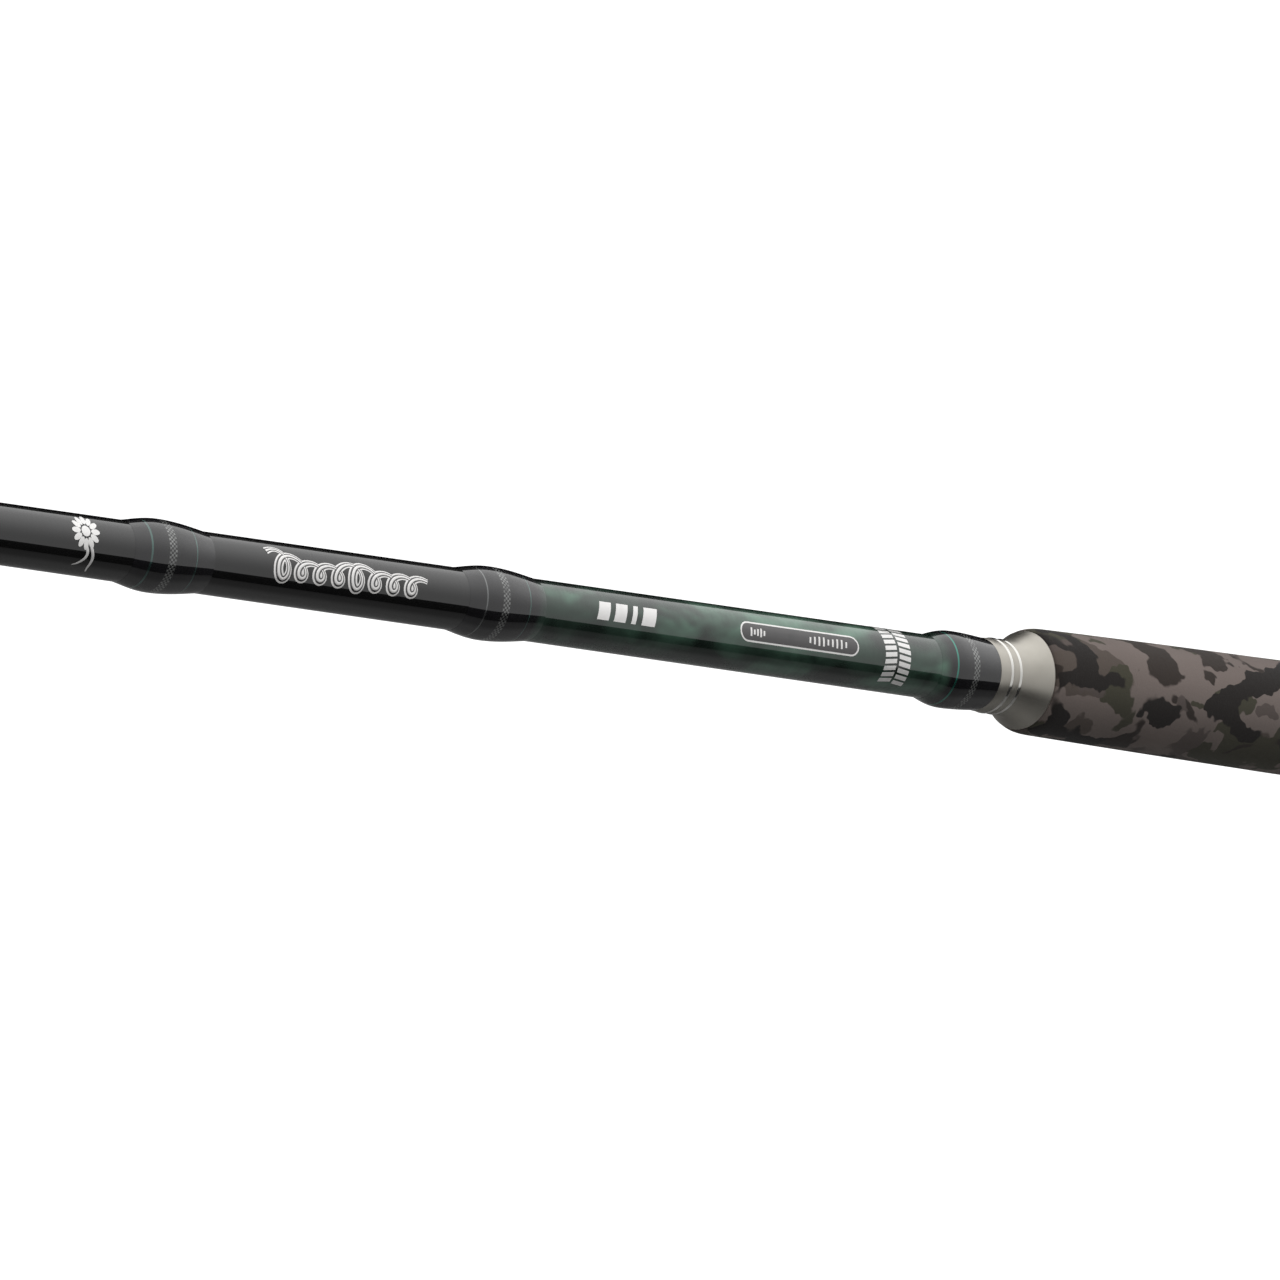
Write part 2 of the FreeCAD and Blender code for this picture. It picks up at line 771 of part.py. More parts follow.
def crowned(start, end, radius, crown):
    """The outline of one wrap with a low epoxy crown."""
    return [
        (start, radius(start)),
        (start, f"{radius(start)} + {crown} / 3", f"{crown} * 2 / 3"),
        (end, f"{radius(end)} + {crown} / 3"),
        (end, radius(end)),
    ]


def make_ferrule_wraps():
    end = f"({FERRULE} + ferrule_wrap_length)"
    turned("ferrule_wrap", crowned(FERRULE, end, tip_section_radius, "ferrule_wrap_crown"))
    end = f"({FERRULE} - stop_wrap_gap)"
    start = f"({end} - stop_wrap_length)"
    turned("ferrule_stop_wrap", crowned(start, end, butt_radius, "ferrule_wrap_crown"))


# ---- guides ----


def leg_outline(size, side, centre, station, radius, run, foot_side, base_x, base_z):
    """The side view of a leg and its foot. The ring's centre is at the origin, and the foot lies
    along the blank. side is 1 for a leg that reaches towards the butt and -1 towards the tip."""
    heel = f"({run} - leg_thickness / 2)"
    toe = f"({run} + {foot_side})"

    def under_blank(x):
        there = f"({station} - {side} * {x})"
        return f"{centre} - ({radius(there)}) - foot_clearance"

    inner = f"({run} + leg_thickness / 2 - {size}_foot_height * {run} / {size}_stand)"
    return [
        (f"{side} * ({base_x} - leg_thickness / 2)", base_z),
        (f"{side} * ({base_x} + leg_thickness / 2)", base_z),
        (f"{side} * {inner}", f"{under_blank(inner)} - {size}_foot_height"),
        (f"{side} * {toe}", f"{under_blank(toe)} - foot_tip_thickness"),
        (f"{side} * {toe}", under_blank(toe)),
        (f"{side} * {heel}", under_blank(heel)),
    ]


def draw_leg_plan(size, run, holder):
    """What is cut away, seen from above, to leave two legs that run together into one narrow foot."""
    foot_end = f"({run} + {size}_foot)"
    spread = f"({holder} - leg_inset)"
    window = f"({spread} - {size}_foot_width * leg_strut_share)"
    crotch = f"{run} * leg_crotch_share"

    def draw(sketch):
        add_outline(sketch, [
            ("-3 * leg_thickness", f"-({holder} + leg_thickness)"),
            (f"{foot_end} + leg_thickness", f"-({holder} + leg_thickness)"),
            (f"{foot_end} + leg_thickness", f"{holder} + leg_thickness"),
            ("-3 * leg_thickness", f"{holder} + leg_thickness"),
        ])
        add_outline(sketch, [
            ("-2 * leg_thickness", f"-{spread}"),
            ("leg_straight", f"-{spread}"),
            (run, f"-{size}_foot_width / 2"),
            (foot_end, f"-{size}_foot_width / 3"),
            (foot_end, f"{size}_foot_width / 3"),
            (run, f"{size}_foot_width / 2"),
            ("leg_straight", spread),
            ("-2 * leg_thickness", spread),
        ])
        add_outline(sketch, [
            ("-leg_thickness", f"-{window}"),
            ("leg_straight", f"-{window}"),
            (crotch, f"-{size}_foot_width / 9"),
            (crotch, f"{size}_foot_width / 9"),
            ("leg_straight", window),
            ("-leg_thickness", window),
        ])

    return draw


def make_ring(label, size, place):
    """The ceramic ring, with a round bead inside that the line runs over."""
    ring = new_body(f"{label}_ring")
    half = "(frame_thickness + ring_proud)"
    side = f"({size}_ring - ring_side)"
    revolve(ring, "bead", [[
        (f"-{half}", f"{size}_ring"),
        (half, f"{size}_ring"),
        (half, side, f"{side} - {size}_hole"),
        (f"-{half}", side),
    ]])
    place(ring)
    pieces[f"{label}_ring"] = ring


def make_guide_frame(label, centre, station, radius):
    """The stamped frame: ring holder, a pair of legs towards the butt and one prop towards the tip."""
    frame = new_body(f"{label}_frame")
    holder = f"({label}_ring + holder_wall)"
    pair = leg_outline(label, 1, centre, station, radius, f"{label}_run", f"{label}_foot", "0", "0")
    extrude(frame, "legs", "XZ_Plane", lambda sketch: add_outline(sketch, pair),
            f"2 * ({holder} - leg_inset)", both_ways=True)
    doc.recompute()
    extrude(frame, "plan", "XY_Plane", draw_leg_plan(label, f"{label}_run", holder),
            kind="PartDesign::Pocket", both_ways=True)
    doc.recompute()
    top = f"{label}_ring + prop_gap"
    prop = leg_outline(label, -1, centre, station, radius, f"{label}_prop_run", f"{label}_foot", "0", top)
    extrude(frame, "prop", "XZ_Plane", lambda sketch: add_outline(sketch, prop),
            f"{label}_foot_width", both_ways=True)
    doc.recompute()
    add_holder(frame, label, holder)
    return frame


def add_holder(frame, size, holder):
    """The ring's holder, and the bore that the ceramic ring is pressed into."""
    half = "frame_thickness"
    revolve(frame, "holder", [[
        (f"-{half}", f"{size}_ring - holder_crown"),
        (f"-{half}", f"{holder} - holder_crown", "holder_crown"),
        (half, f"{holder} - holder_crown"),
        (half, f"{size}_ring - holder_crown"),
    ]])
    doc.recompute()
    reach = f"({half} + ring_proud)"
    revolve(frame, "ring_seat", [[
        (f"-{reach}", "0"),
        (f"-{reach}", f"{size}_ring"),
        (reach, f"{size}_ring"),
        (reach, "0"),
    ]], kind="PartDesign::Groove")


def make_guide_wraps(label, station, radius, frame):
    """The two wraps that bind the feet: each an off-centre crown round the blank and the foot."""
    stock = new_body(f"{label}_wrap_stock")
    outlines, cores = [], []
    for side, run in [(1, f"{label}_run"), (-1, f"{label}_prop_run")]:
        near = f"({run} + wrap_start)"
        far = f"({run} + {label}_foot + wrap_overrun)"
        outer = [
            f"({radius(f'({station} - {side} * {x})')}) + {label}_foot_height / 2 + wrap_cover"
            for x in (near, far)
        ]
        corners = [
            (near, "0"),
            (near, f"{outer[0]} - wrap_near_drop", "guide_wrap_swell"),
            (far, f"{outer[1]} - wrap_far_drop"),
            (far, "0"),
        ]
        outlines.append([(f"{side} * {corner[0]}", *corner[1:]) for corner in corners])
        cone = doc.addObject("Part::Cone", f"{label}_core_{len(cores) + 1}")
        low, high = f"({near} - core_margin)", f"({far} + core_margin)"
        cone.setExpression("Radius1", cells(radius(f"({station} - {side} * {low})")))
        cone.setExpression("Radius2", cells(radius(f"({station} - {side} * {high})")))
        cone.setExpression("Height", cells(f"{high} - {low}"))
        turn = FreeCAD.Rotation(FreeCAD.Vector(0, 1, 0), 90 * side)
        cone.Placement = FreeCAD.Placement(FreeCAD.Vector(), turn)
        cone.setExpression("Placement.Base.x", cells(f"{along(station)} + {side} * {low}"))
        cores.append(cone)
    revolve(stock, "crowns", outlines)
    stock.setExpression("Placement.Base.x", cells(along(station)))
    stock.setExpression("Placement.Base.z", cells(f"-{label}_foot_height / 2"))
    cut(f"{label}_wraps", stock, *cores, frame)


def make_guide(label, station, radius):
    centre = f"({radius(station)} + {label}_stand)"

    def place(body):
        body.setExpression("Placement.Base.x", cells(along(station)))
        body.setExpression("Placement.Base.z", cells(f"-{centre}"))

    frame = make_guide_frame(label, centre, station, radius)
    place(frame)
    pieces[f"{label}_frame"] = frame
    make_ring(label, label, place)
    make_guide_wraps(label, station, radius, frame)


def make_tip_top():
    """The tip-top: a short tube glued over the tip, with its ring under the tube's end."""
    label = "tip_top"
    station = f"({TIP} - tip_top_from_tip)"
    holder = f"({label}_ring + holder_wall)"
    tube = "(tip_radius + top_tube_wall)"
    centre = f"({holder} + {tube} - top_sink)"
    frame = new_body(f"{label}_frame")

    def strut(sketch):
        reach = "tip_top_run"
        add_outline(sketch, [
            ("-leg_thickness / 2", "0"),
            ("leg_thickness / 2", "0"),
            (f"{reach} + leg_thickness / 2", f"{centre} - {tube} * top_strut_share"),
            (f"{reach} - leg_thickness / 2", f"{centre} - {tube} * top_strut_share"),
        ])

    extrude(frame, "legs", "XZ_Plane", strut, f"2 * ({holder} - leg_inset)", both_ways=True)
    doc.recompute()
    extrude(frame, "plan", "XY_Plane", draw_leg_plan(label, "tip_top_run", holder),
            kind="PartDesign::Pocket", both_ways=True)
    doc.recompute()
    end_x = "-(tip_top_from_tip + top_tube_floor)"
    extrude(frame, "tube", "YZ_Plane", lambda sketch: add_circle(sketch, centre, tube),
            "top_tube_length", end_x)
    doc.recompute()
    add_holder(frame, label, holder)
    doc.recompute()
    extrude(frame, "socket", "YZ_Plane", lambda sketch: add_circle(sketch, centre, "tip_radius + top_clearance"),
            "top_tube_length - top_tube_floor", f"{end_x} + top_tube_length", "PartDesign::Pocket")

    def place(body):
        body.setExpression("Placement.Base.x", cells(along(station)))
        body.setExpression("Placement.Base.z", cells(f"-{centre}"))

    place(frame)
    pieces[f"{label}_frame"] = frame
    make_ring(label, label, place)
    start = f"({TIP} + top_tube_floor - top_tube_length - top_wrap_length)"
    end = f"({start} + top_wrap_length)"
    turned(f"{label}_wrap", crowned(start, end, tip_section_radius, "top_wrap_crown"))


def make_guides():
    make_guide("guide_1", f"({FERRULE} - guide_1_from_ferrule)", butt_radius)
    for number in range(2, 8):
        label = f"guide_{number}"
        make_guide(label, f"({TIP} - {label}_from_tip)", tip_section_radius)
    make_tip_top()


make_blank()
make_butt_end()
make_grips()
make_front_check()
make_seat_barrel()
make_seat_fittings()
make_hoods()
make_trim_wraps()
make_ferrule_wraps()
make_guides()
doc.recompute()

faults = [item.Name for item in doc.Objects if {"Invalid", "Error"} & set(item.State)]
for label, piece in pieces.items():
    shape = piece.Shape
    if shape.isNull() or not shape.isValid() or shape.Volume <= 0:
        faults.append(label)
if faults:
    raise RuntimeError("these objects failed: " + ", ".join(sorted(set(faults))))

os.makedirs("parts", exist_ok=True)
for label, piece in pieces.items():
    piece.Label = label
    piece.Shape.exportStep(f"parts/{label}.step")
print(len(pieces), "pieces")
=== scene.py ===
"""A two-piece spinning rod, dressed piece by piece round its working frame."""

import math

import bpy
from mathutils import Matrix, Vector


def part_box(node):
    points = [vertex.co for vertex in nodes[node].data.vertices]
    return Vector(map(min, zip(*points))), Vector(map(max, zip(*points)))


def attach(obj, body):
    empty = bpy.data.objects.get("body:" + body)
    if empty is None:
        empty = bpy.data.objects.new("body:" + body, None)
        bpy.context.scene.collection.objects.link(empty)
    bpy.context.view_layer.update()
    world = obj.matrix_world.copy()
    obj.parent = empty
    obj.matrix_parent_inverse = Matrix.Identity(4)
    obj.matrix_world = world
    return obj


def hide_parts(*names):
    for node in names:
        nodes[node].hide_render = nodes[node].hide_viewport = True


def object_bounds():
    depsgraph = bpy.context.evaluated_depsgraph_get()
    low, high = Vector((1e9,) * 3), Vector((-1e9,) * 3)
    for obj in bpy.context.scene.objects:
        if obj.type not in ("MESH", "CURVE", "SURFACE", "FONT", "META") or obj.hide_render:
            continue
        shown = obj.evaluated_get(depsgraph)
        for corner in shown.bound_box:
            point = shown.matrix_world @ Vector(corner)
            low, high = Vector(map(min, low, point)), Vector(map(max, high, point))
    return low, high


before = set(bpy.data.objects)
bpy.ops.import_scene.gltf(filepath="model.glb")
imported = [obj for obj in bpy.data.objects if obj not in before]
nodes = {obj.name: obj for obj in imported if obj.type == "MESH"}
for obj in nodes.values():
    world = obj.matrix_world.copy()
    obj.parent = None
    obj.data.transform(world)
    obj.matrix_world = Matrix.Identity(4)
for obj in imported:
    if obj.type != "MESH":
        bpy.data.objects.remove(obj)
cad_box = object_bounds()
MM = 0.001

# ---- Blank: butt section ----
# A tapered tube of carbon cloth rolled on a mandrel, sanded, then dipped in a deep clear coat.
# Between the first two wraps the carbon is dyed in drifting patches of dark green.

GRIP_END_OF_BLANK = (115.0, 8.894)
NOSE_OF_CHECK = (-515.4, 8.21)
MALE_END = (-980.0, 6.026)
BLANK_WALL = 1.3
BLANK_SLOPE = (NOSE_OF_CHECK[1] - MALE_END[1]) / (NOSE_OF_CHECK[0] - MALE_END[0])


def blank_radius(x):
    """The butt section's radius in front of the check, in millimetres like its place."""
    return NOSE_OF_CHECK[1] + BLANK_SLOPE * (x - NOSE_OF_CHECK[0])


def turn(name, outline, sides=96, smooth=40):
    """Turns a closed outline of (x, radius), in millimetres, round the rod's axis."""
    bpy.ops.object.select_all(action="DESELECT")
    x, radius = outline[0]
    bpy.ops.mesh.primitive_plane_add(size=MM, location=(x * MM, 0, radius * MM))
    piece = bpy.context.object
    piece.name = piece.data.name = name
    bpy.ops.object.mode_set(mode="EDIT")
    bpy.ops.mesh.merge(type="CENTER")
    for next_x, next_radius in [*outline[1:], outline[0]]:
        step = ((next_x - x) * MM, 0, (next_radius - radius) * MM)
        bpy.ops.mesh.extrude_region_move(TRANSFORM_OT_translate={"value": step})
        x, radius = next_x, next_radius
    bpy.ops.mesh.select_all(action="SELECT")
    bpy.ops.mesh.remove_doubles(threshold=MM / 1000)
    bpy.ops.mesh.select_all(action="SELECT")
    bpy.ops.mesh.spin(steps=sides, angle=math.tau, center=(0, 0, 0), axis=(1, 0, 0))
    bpy.ops.mesh.select_all(action="SELECT")
    bpy.ops.mesh.remove_doubles(threshold=MM / 1000)
    bpy.ops.mesh.normals_make_consistent(inside=False)
    bpy.ops.object.mode_set(mode="OBJECT")
    bpy.ops.object.transform_apply(location=True, rotation=True, scale=True)
    bpy.ops.object.shade_smooth_by_angle(angle=math.radians(smooth))
    return piece


def between(start, end, count):
    """Evenly spaced numbers from start to end, both among them."""
    return [start + (end - start) * i / (count - 1) for i in range(count)]


class Tone:
    """One socket of a finish. Sums and products of tones add the Math nodes that work them out."""

    def __init__(self, tree, socket):
        self.tree, self.socket = tree, socket

    def node(self, kind, sockets, output=0, **settings):
        """Adds any other node: its settings first, then the values or tones of its sockets."""
        made = self.tree.nodes.new("ShaderNode" + kind)
        stops = settings.pop("stops", None)
        for name, setting in settings.items():
            setattr(made, name, setting)
        if stops:
            ramp = made.color_ramp
            while len(ramp.elements) < len(stops):
                ramp.elements.new(0.5)
            for element, (place, colour) in zip(ramp.elements, stops):
                element.position, element.color = place, colour
        for name, value in sockets.items():
            if isinstance(value, Tone):
                self.tree.links.new(value.socket, made.inputs[name])
            else:
                made.inputs[name].default_value = value
        return Tone(self.tree, made.outputs[output])

    def math(self, operation, *others):
        sockets = dict(enumerate((self, *others)))
        return self.node("Math", sockets, operation=operation)

    def __add__(self, other):
        return self.math("ADD", other)

    def __sub__(self, other):
        return self.math("SUBTRACT", other)

    def __mul__(self, other):
        return self.math("MULTIPLY", other)

    __radd__ = __add__
    __rmul__ = __mul__

    def __rsub__(self, other):
        return (self * -1) + other

    def __truediv__(self, other):
        return self.math("DIVIDE", other)

    def step(self, low, high):
        """0 below low, 1 above high, and a smooth rise between them."""
        sockets = {"Value": self, "From Min": low, "From Max": high}
        return self.node("MapRange", sockets, interpolation_type="SMOOTHSTEP")

    def within(self, low, high, edge):
        """1 between low and high, 0 outside, with soft edges."""
        return self.step(low - edge, low) * (1 - self.step(high, high + edge))

    def mix(self, first, second):
        """first where this tone is 0, and second where it is 1."""
        sockets = {0: self, 6: first, 7: second}
        return self.node("Mix", sockets, 2, data_type="RGBA")

    def axis(self, number):
        """One part of a place: 0 along the rod, 1 across it and 2 up."""
        return self.node("SeparateXYZ", {"Vector": self}, number)

    def turned(self):
        """A place's turn round the rod from its front, with the top at a quarter."""
        return self.axis(2).math("ARCTAN2", self.axis(1) * -1) / math.tau

    def vector(self, operation, other):
        """Adds a Vector Math node with this tone first."""
        second = 3 if operation == "SCALE" else 1
        return self.node("VectorMath", {0: self, second: other}, operation=operation)

    def noise(self, scale, stretch=(1, 1, 1), detail=2.0, distortion=0.0, shift=0.0, output=0):
        """Clouds of this many to the metre round a place, as grey or, from output 1, in colour."""
        place = self.node(
            "Mapping", {"Vector": self, "Scale": stretch, "Location": (shift,) * 3}
        )
        sockets = {
            "Vector": place,
            "Scale": scale,
            "Detail": detail,
            "Distortion": distortion,
        }
        return self.node("TexNoise", sockets, output)

    def bump(self, height):
        """A normal from this tone as a relief of the given height in metres."""
        sockets = {"Height": self, "Distance": height, "Strength": 1.0}
        return self.node("Bump", sockets)


def paint(red, green, blue):
    """A colour as mixed on a chart, each part from 0 to 255."""

    def part(value):
        value /= 255
        return value / 12.92 if value < 0.04045 else ((value + 0.055) / 1.055) ** 2.4

    return (part(red), part(green), part(blue), 1.0)


def new_finish(name, **constant):
    """A new material, with the shader's own settings, and the place on the piece as a tone."""
    finish = bpy.data.materials.new(name)
    finish.use_nodes = True
    tree = finish.node_tree
    shader = tree.nodes["Principled BSDF"]
    for setting, value in constant.items():
        shader.inputs[setting.replace("_", " ")].default_value = value
    place = tree.nodes.new("ShaderNodeTexCoord").outputs["Object"]
    return finish, Tone(tree, place)


def lay(finish, **layers):
    """Leads tones into the shader's sockets."""
    tree = finish.node_tree
    shader = tree.nodes["Principled BSDF"]
    for setting, tone in layers.items():
        tree.links.new(tone.socket, shader.inputs[setting.replace("_", " ")])
    return finish


CLEAR_COAT = {"Coat_Weight": 1.0, "Coat_Roughness": 0.015, "Coat_IOR": 1.8}
TAPE_PITCH = 1.6 * MM
GREEN_FROM, GREEN_TO = -672 * MM, -524 * MM


def dye(place):
    """The green of the dyed stretch, and how much of it there is."""
    drift = place.noise(48, (0.8, 1.3, 1.3), 2, 0.6)
    haze = place.noise(110, (0.7, 1, 1), 2, 0.3, shift=0.37)
    green = haze.step(0.3, 0.7).mix(paint(30, 50, 40), paint(88, 126, 106))
    stretch = place.axis(0).within(GREEN_FROM, GREEN_TO, 0.5 * MM)
    return green, stretch * (drift.step(0.4, 0.56) * 0.7 + 0.3)


def carbon_finish():
    finish, place = new_finish("carbon_blank", Specular_IOR_Level=0.08, **CLEAR_COAT)
    tape = ((place.axis(0) / TAPE_PITCH + place.turned()) * math.tau).math("SINE")
    cloth = place.noise(260, (0.35, 1, 1), 3)
    black = cloth.mix(paint(1, 1, 1), paint(8, 8, 9))
    green, dyed = dye(place)
    relief = (tape * 0.5 + cloth * 0.6).bump(0.015 * MM)
    return lay(
        finish,
        Base_Color=dyed.mix(black, green),
        Metallic=dyed * 0.9,
        Roughness=cloth * 0.16 + 0.3,
        Normal=relief,
    )


carbon = carbon_finish()
blank = turn(
    "blank_butt_tube",
    [
        GRIP_END_OF_BLANK,
        NOSE_OF_CHECK,
        *[(x, blank_radius(x)) for x in between(-560, MALE_END[0] + 1.2, 12)],
        (MALE_END[0] + 0.3, MALE_END[1] - 0.1),
        (MALE_END[0], MALE_END[1] - 0.4),
        (MALE_END[0], MALE_END[1] - BLANK_WALL),
        (NOSE_OF_CHECK[0], NOSE_OF_CHECK[1] - BLANK_WALL),
        (GRIP_END_OF_BLANK[0], GRIP_END_OF_BLANK[1] - BLANK_WALL),
    ],
    128,
)
blank.data.materials.append(carbon)
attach(blank, "butt_section")
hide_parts("butt_blank")

# ---- Trim wraps ----
# Black thread wound tight over the blank with bright bands let into it, under a thick dome of
# epoxy that is poured while the rod turns, so it thins to nothing at both ends.

THREAD_PITCH = 0.26 * MM
BRAID_CELL = 0.5 * MM
BRAID_ROUND = 50
BRAID_HALF = 1.0
EPOXY_OVERRUN = 3.4


def wrap_finish(name, bound_from, bound_to, rings, braid):
    """Thread lies between the first two places, and the blank shows through the epoxy past them.

    Rings are (x, half width, colour) and the braid is one x, all in millimetres.
    """
    finish, place = new_finish(name, Specular_IOR_Level=0.08, **CLEAR_COAT)
    x = place.axis(0)
    thread = ((x / THREAD_PITCH) * math.tau).math("SINE")
    wear = place.noise(420, detail=2)
    green, dyed = dye(place)
    dyed = dyed * (1 - x.within(bound_to * MM, bound_from * MM, EPOXY_OVERRUN * MM))
    colour = dyed.mix(wear.mix(paint(4, 4, 5), paint(24, 23, 27)), green)
    metal = dyed * 0.9
    for at, half, tint in rings:
        ring = x.within((at - half) * MM, (at + half) * MM, 0.08 * MM)
        colour = ring.mix(colour, paint(*tint))
        metal = metal + ring
    column = ((x - braid * MM) / BRAID_CELL).math("FLOOR")
    row = (place.turned() * BRAID_ROUND + column * 0.5).math("FRACT")
    lattice = row.step(0.38, 0.5) * (1 - row.step(0.88, 1.0))
    strip = x.within((braid - BRAID_HALF) * MM, (braid + BRAID_HALF) * MM, 0.06 * MM)
    strand = strip * lattice * (wear.step(0.3, 0.6) * 0.5 + 0.3)
    colour = strand.mix(colour, paint(148, 150, 148))
    metal = (metal + strand).math("MINIMUM", 1.0)
    return lay(
        finish,
        Base_Color=colour,
        Metallic=metal,
        Roughness=0.4 - metal * 0.1,
        Normal=(thread * 0.4 + strand * 2).bump(0.03 * MM),
    )


def dome(start, end, start_height, peak, height, count=22):
    """The epoxy's outline from its grip end to its tip end, heights over the blank."""
    points = []
    for t in between(0, 1, count):
        x = start + (end - start) * t
        if t < peak:
            share = start_height + (1 - start_height) * math.sin(t / peak * math.pi / 2)
        else:
            run = (t - peak) / (1 - peak)
            share = math.cos(run * math.pi / 2) ** 1.15
        points.append((x, blank_radius(x) + 0.03 + height * share))
    return points


SILVER = (112, 114, 114)
TEAL = (50, 138, 120)
GREY_TEAL = (70, 100, 94)
WRAP_DEPTH = 0.35
trim_wraps = {
    # start, end, height where it starts, place of the peak, height there, rings, braid
    1: (NOSE_OF_CHECK[0], -535.0, 0.64, 0.58, 1.72, [(-530.6, 0.17, TEAL)], -524.4),
    2: (-664.0, -687.0, 0, 0.57, 1.32, [
        (-669.4, 0.12, GREY_TEAL), (-682.4, 0.12, SILVER)], -677.0),
    3: (-759.8, -781.3, 0, 0.58, 1.32, [
        (-765.2, 0.12, GREY_TEAL), (-777.3, 0.18, GREY_TEAL)], -772.0),
}
for number, (start, end, step_up, peak, height, rings, braid) in trim_wraps.items():
    outline = dome(start, end, step_up, peak, height)
    outline += [(x, blank_radius(x) - WRAP_DEPTH) for x in (end, start)]
    wrap = turn(f"trim_wrap_{number}", outline, 112)
    bound_from = start if step_up else start - EPOXY_OVERRUN
    finish = wrap_finish(
        f"trim_wrap_{number}_finish", bound_from, end + EPOXY_OVERRUN, rings, braid
    )
    wrap.data.materials.append(finish)
    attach(wrap, "butt_section")
    covered = [f"trim_wrap_{number}_{layer}" for layer in ("thread", "bands", "epoxy")]
    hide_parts(*covered)

# ---- Printed trim ----
# Hot-foil ornaments pressed on the blank before it is dipped: a rosette with two tails, a running
# flourish, slanted bars, a plate with gauge marks, and a ring of short bars round the blank.

TRIM_TURN = math.radians(65)
FOIL = 0.05
STRIP = 0.55


def foil_finish(name, dark, light, metal):
    finish, place = new_finish(name, IOR=1.5, Metallic=metal, **CLEAR_COAT)
    press = place.noise(900, detail=3)
    wear = place.noise(260, detail=2).step(0.2, 0.5)
    return lay(
        finish,
        Base_Color=(press * 0.35 + wear * 0.65).mix(dark, light),
        Roughness=press * 0.2 + 0.35,
        Normal=press.bump(0.01 * MM),
    )


foils = {
    "white": foil_finish("white_foil", paint(236, 234, 233), paint(255, 254, 252), 0.3),
    "black": foil_finish("black_foil", paint(6, 6, 6), paint(34, 30, 32), 0.0),
}


def flat_shape(corners, centre=(0, 0)):
    """A flat shape drawn on the rod's side, x to the butt and z up, in millimetres."""
    bpy.ops.object.select_all(action="DESELECT")
    bpy.ops.mesh.primitive_circle_add(
        vertices=len(corners), radius=MM, fill_type="NGON", rotation=(math.pi / 2, 0, 0)
    )
    shape = bpy.context.object
    bpy.ops.object.transform_apply(location=True, rotation=True, scale=True)
    for vertex, (x, z) in zip(shape.data.vertices, corners):
        vertex.co = ((x + centre[0]) * MM, 0, (z + centre[1]) * MM)
    return shape


def join_shapes(name, shapes):
    bpy.ops.object.select_all(action="DESELECT")
    for shape in shapes:
        shape.select_set(True)
    bpy.context.view_layer.objects.active = shapes[0]
    bpy.ops.object.join()
    piece = bpy.context.object
    piece.name = piece.data.name = name
    return piece


def slice_up(piece):
    """Cuts a flat piece into narrow strips along the rod, so that it can follow the blank."""
    heights = [vertex.co.z for vertex in piece.data.vertices]
    bpy.ops.object.mode_set(mode="EDIT")
    height = min(heights) + STRIP * MM
    while height < max(heights):
        bpy.ops.mesh.select_all(action="SELECT")
        bpy.ops.mesh.bisect(plane_co=(0, 0, height), plane_no=(0, 0, 1))
        height += STRIP * MM
    bpy.ops.object.mode_set(mode="OBJECT")


def lay_on_blank(piece, x, foil, layers=1):
    """Thickens a flat piece by its layers, if any, and bends it round the blank at x."""
    if layers:
        slice_up(piece)
        shell = piece.modifiers.new("foil", "SOLIDIFY")
        shell.thickness, shell.offset = FOIL * layers * MM, 0
        bpy.ops.object.modifier_apply(modifier=shell.name)
    radius = (blank_radius(x) + 0.01) * MM
    piece.location = (x * MM, 0, radius * TRIM_TURN)
    piece.rotation_euler = (0, 0, -BLANK_SLOPE)
    bpy.ops.object.transform_apply(location=True, rotation=True, scale=True)
    heights = [vertex.co.z for vertex in piece.data.vertices]
    bend = piece.modifiers.new("bend", "SIMPLE_DEFORM")
    bend.deform_method, bend.deform_axis = "BEND", "X"
    bend.angle = (max(heights) - min(heights)) / radius
    bpy.ops.object.modifier_apply(modifier=bend.name)
    piece.location = (0, -radius, 0)
    bpy.ops.object.transform_apply(location=True, rotation=True, scale=True)
    bpy.ops.object.mode_set(mode="EDIT")
    bpy.ops.mesh.select_all(action="SELECT")
    bpy.ops.mesh.normals_make_consistent(inside=False)
    bpy.ops.object.mode_set(mode="OBJECT")
    bpy.ops.object.shade_smooth_by_angle(angle=math.radians(40))
    piece.data.materials.clear()
    piece.data.materials.append(foils[foil])
    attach(piece, "butt_section")


def stroke(name, points, widths, flatness):
    """A pen stroke through points, as a round wire of changing width pressed nearly flat."""
    line = bpy.data.curves.new(name, "CURVE")
    line.dimensions, line.bevel_depth, line.bevel_resolution = "3D", MM, 2
    line.use_fill_caps, line.resolution_u = True, 4
    spline = line.splines.new("NURBS")
    spline.points.add(len(points) - 1)
    for point, (x, z), width in zip(spline.points, points, widths):
        point.co, point.radius = (x * MM, 0, z * MM, 1), width
    spline.order_u, spline.use_endpoint_u = 4, True
    wire = bpy.data.objects.new(name, line)
    bpy.context.scene.collection.objects.link(wire)
    bpy.ops.object.select_all(action="DESELECT")
    wire.select_set(True)
    bpy.context.view_layer.objects.active = wire
    bpy.ops.object.convert(target="MESH")
    wire = bpy.context.object
    wire.name = wire.data.name = name
    wire.scale = (1, flatness, 1)
    bpy.ops.object.transform_apply(location=True, rotation=True, scale=True)
    return wire


FLOURISH_AT = -722.5
FLOURISH_LENGTH = 43
LOOPS = 8.2
LOOP_HEIGHT, LOOP_REACH = 1.9, 2.2
TALL_LOOPS = ((0.05, 0.08, 2.1), (0.56, 0.06, 1.9))


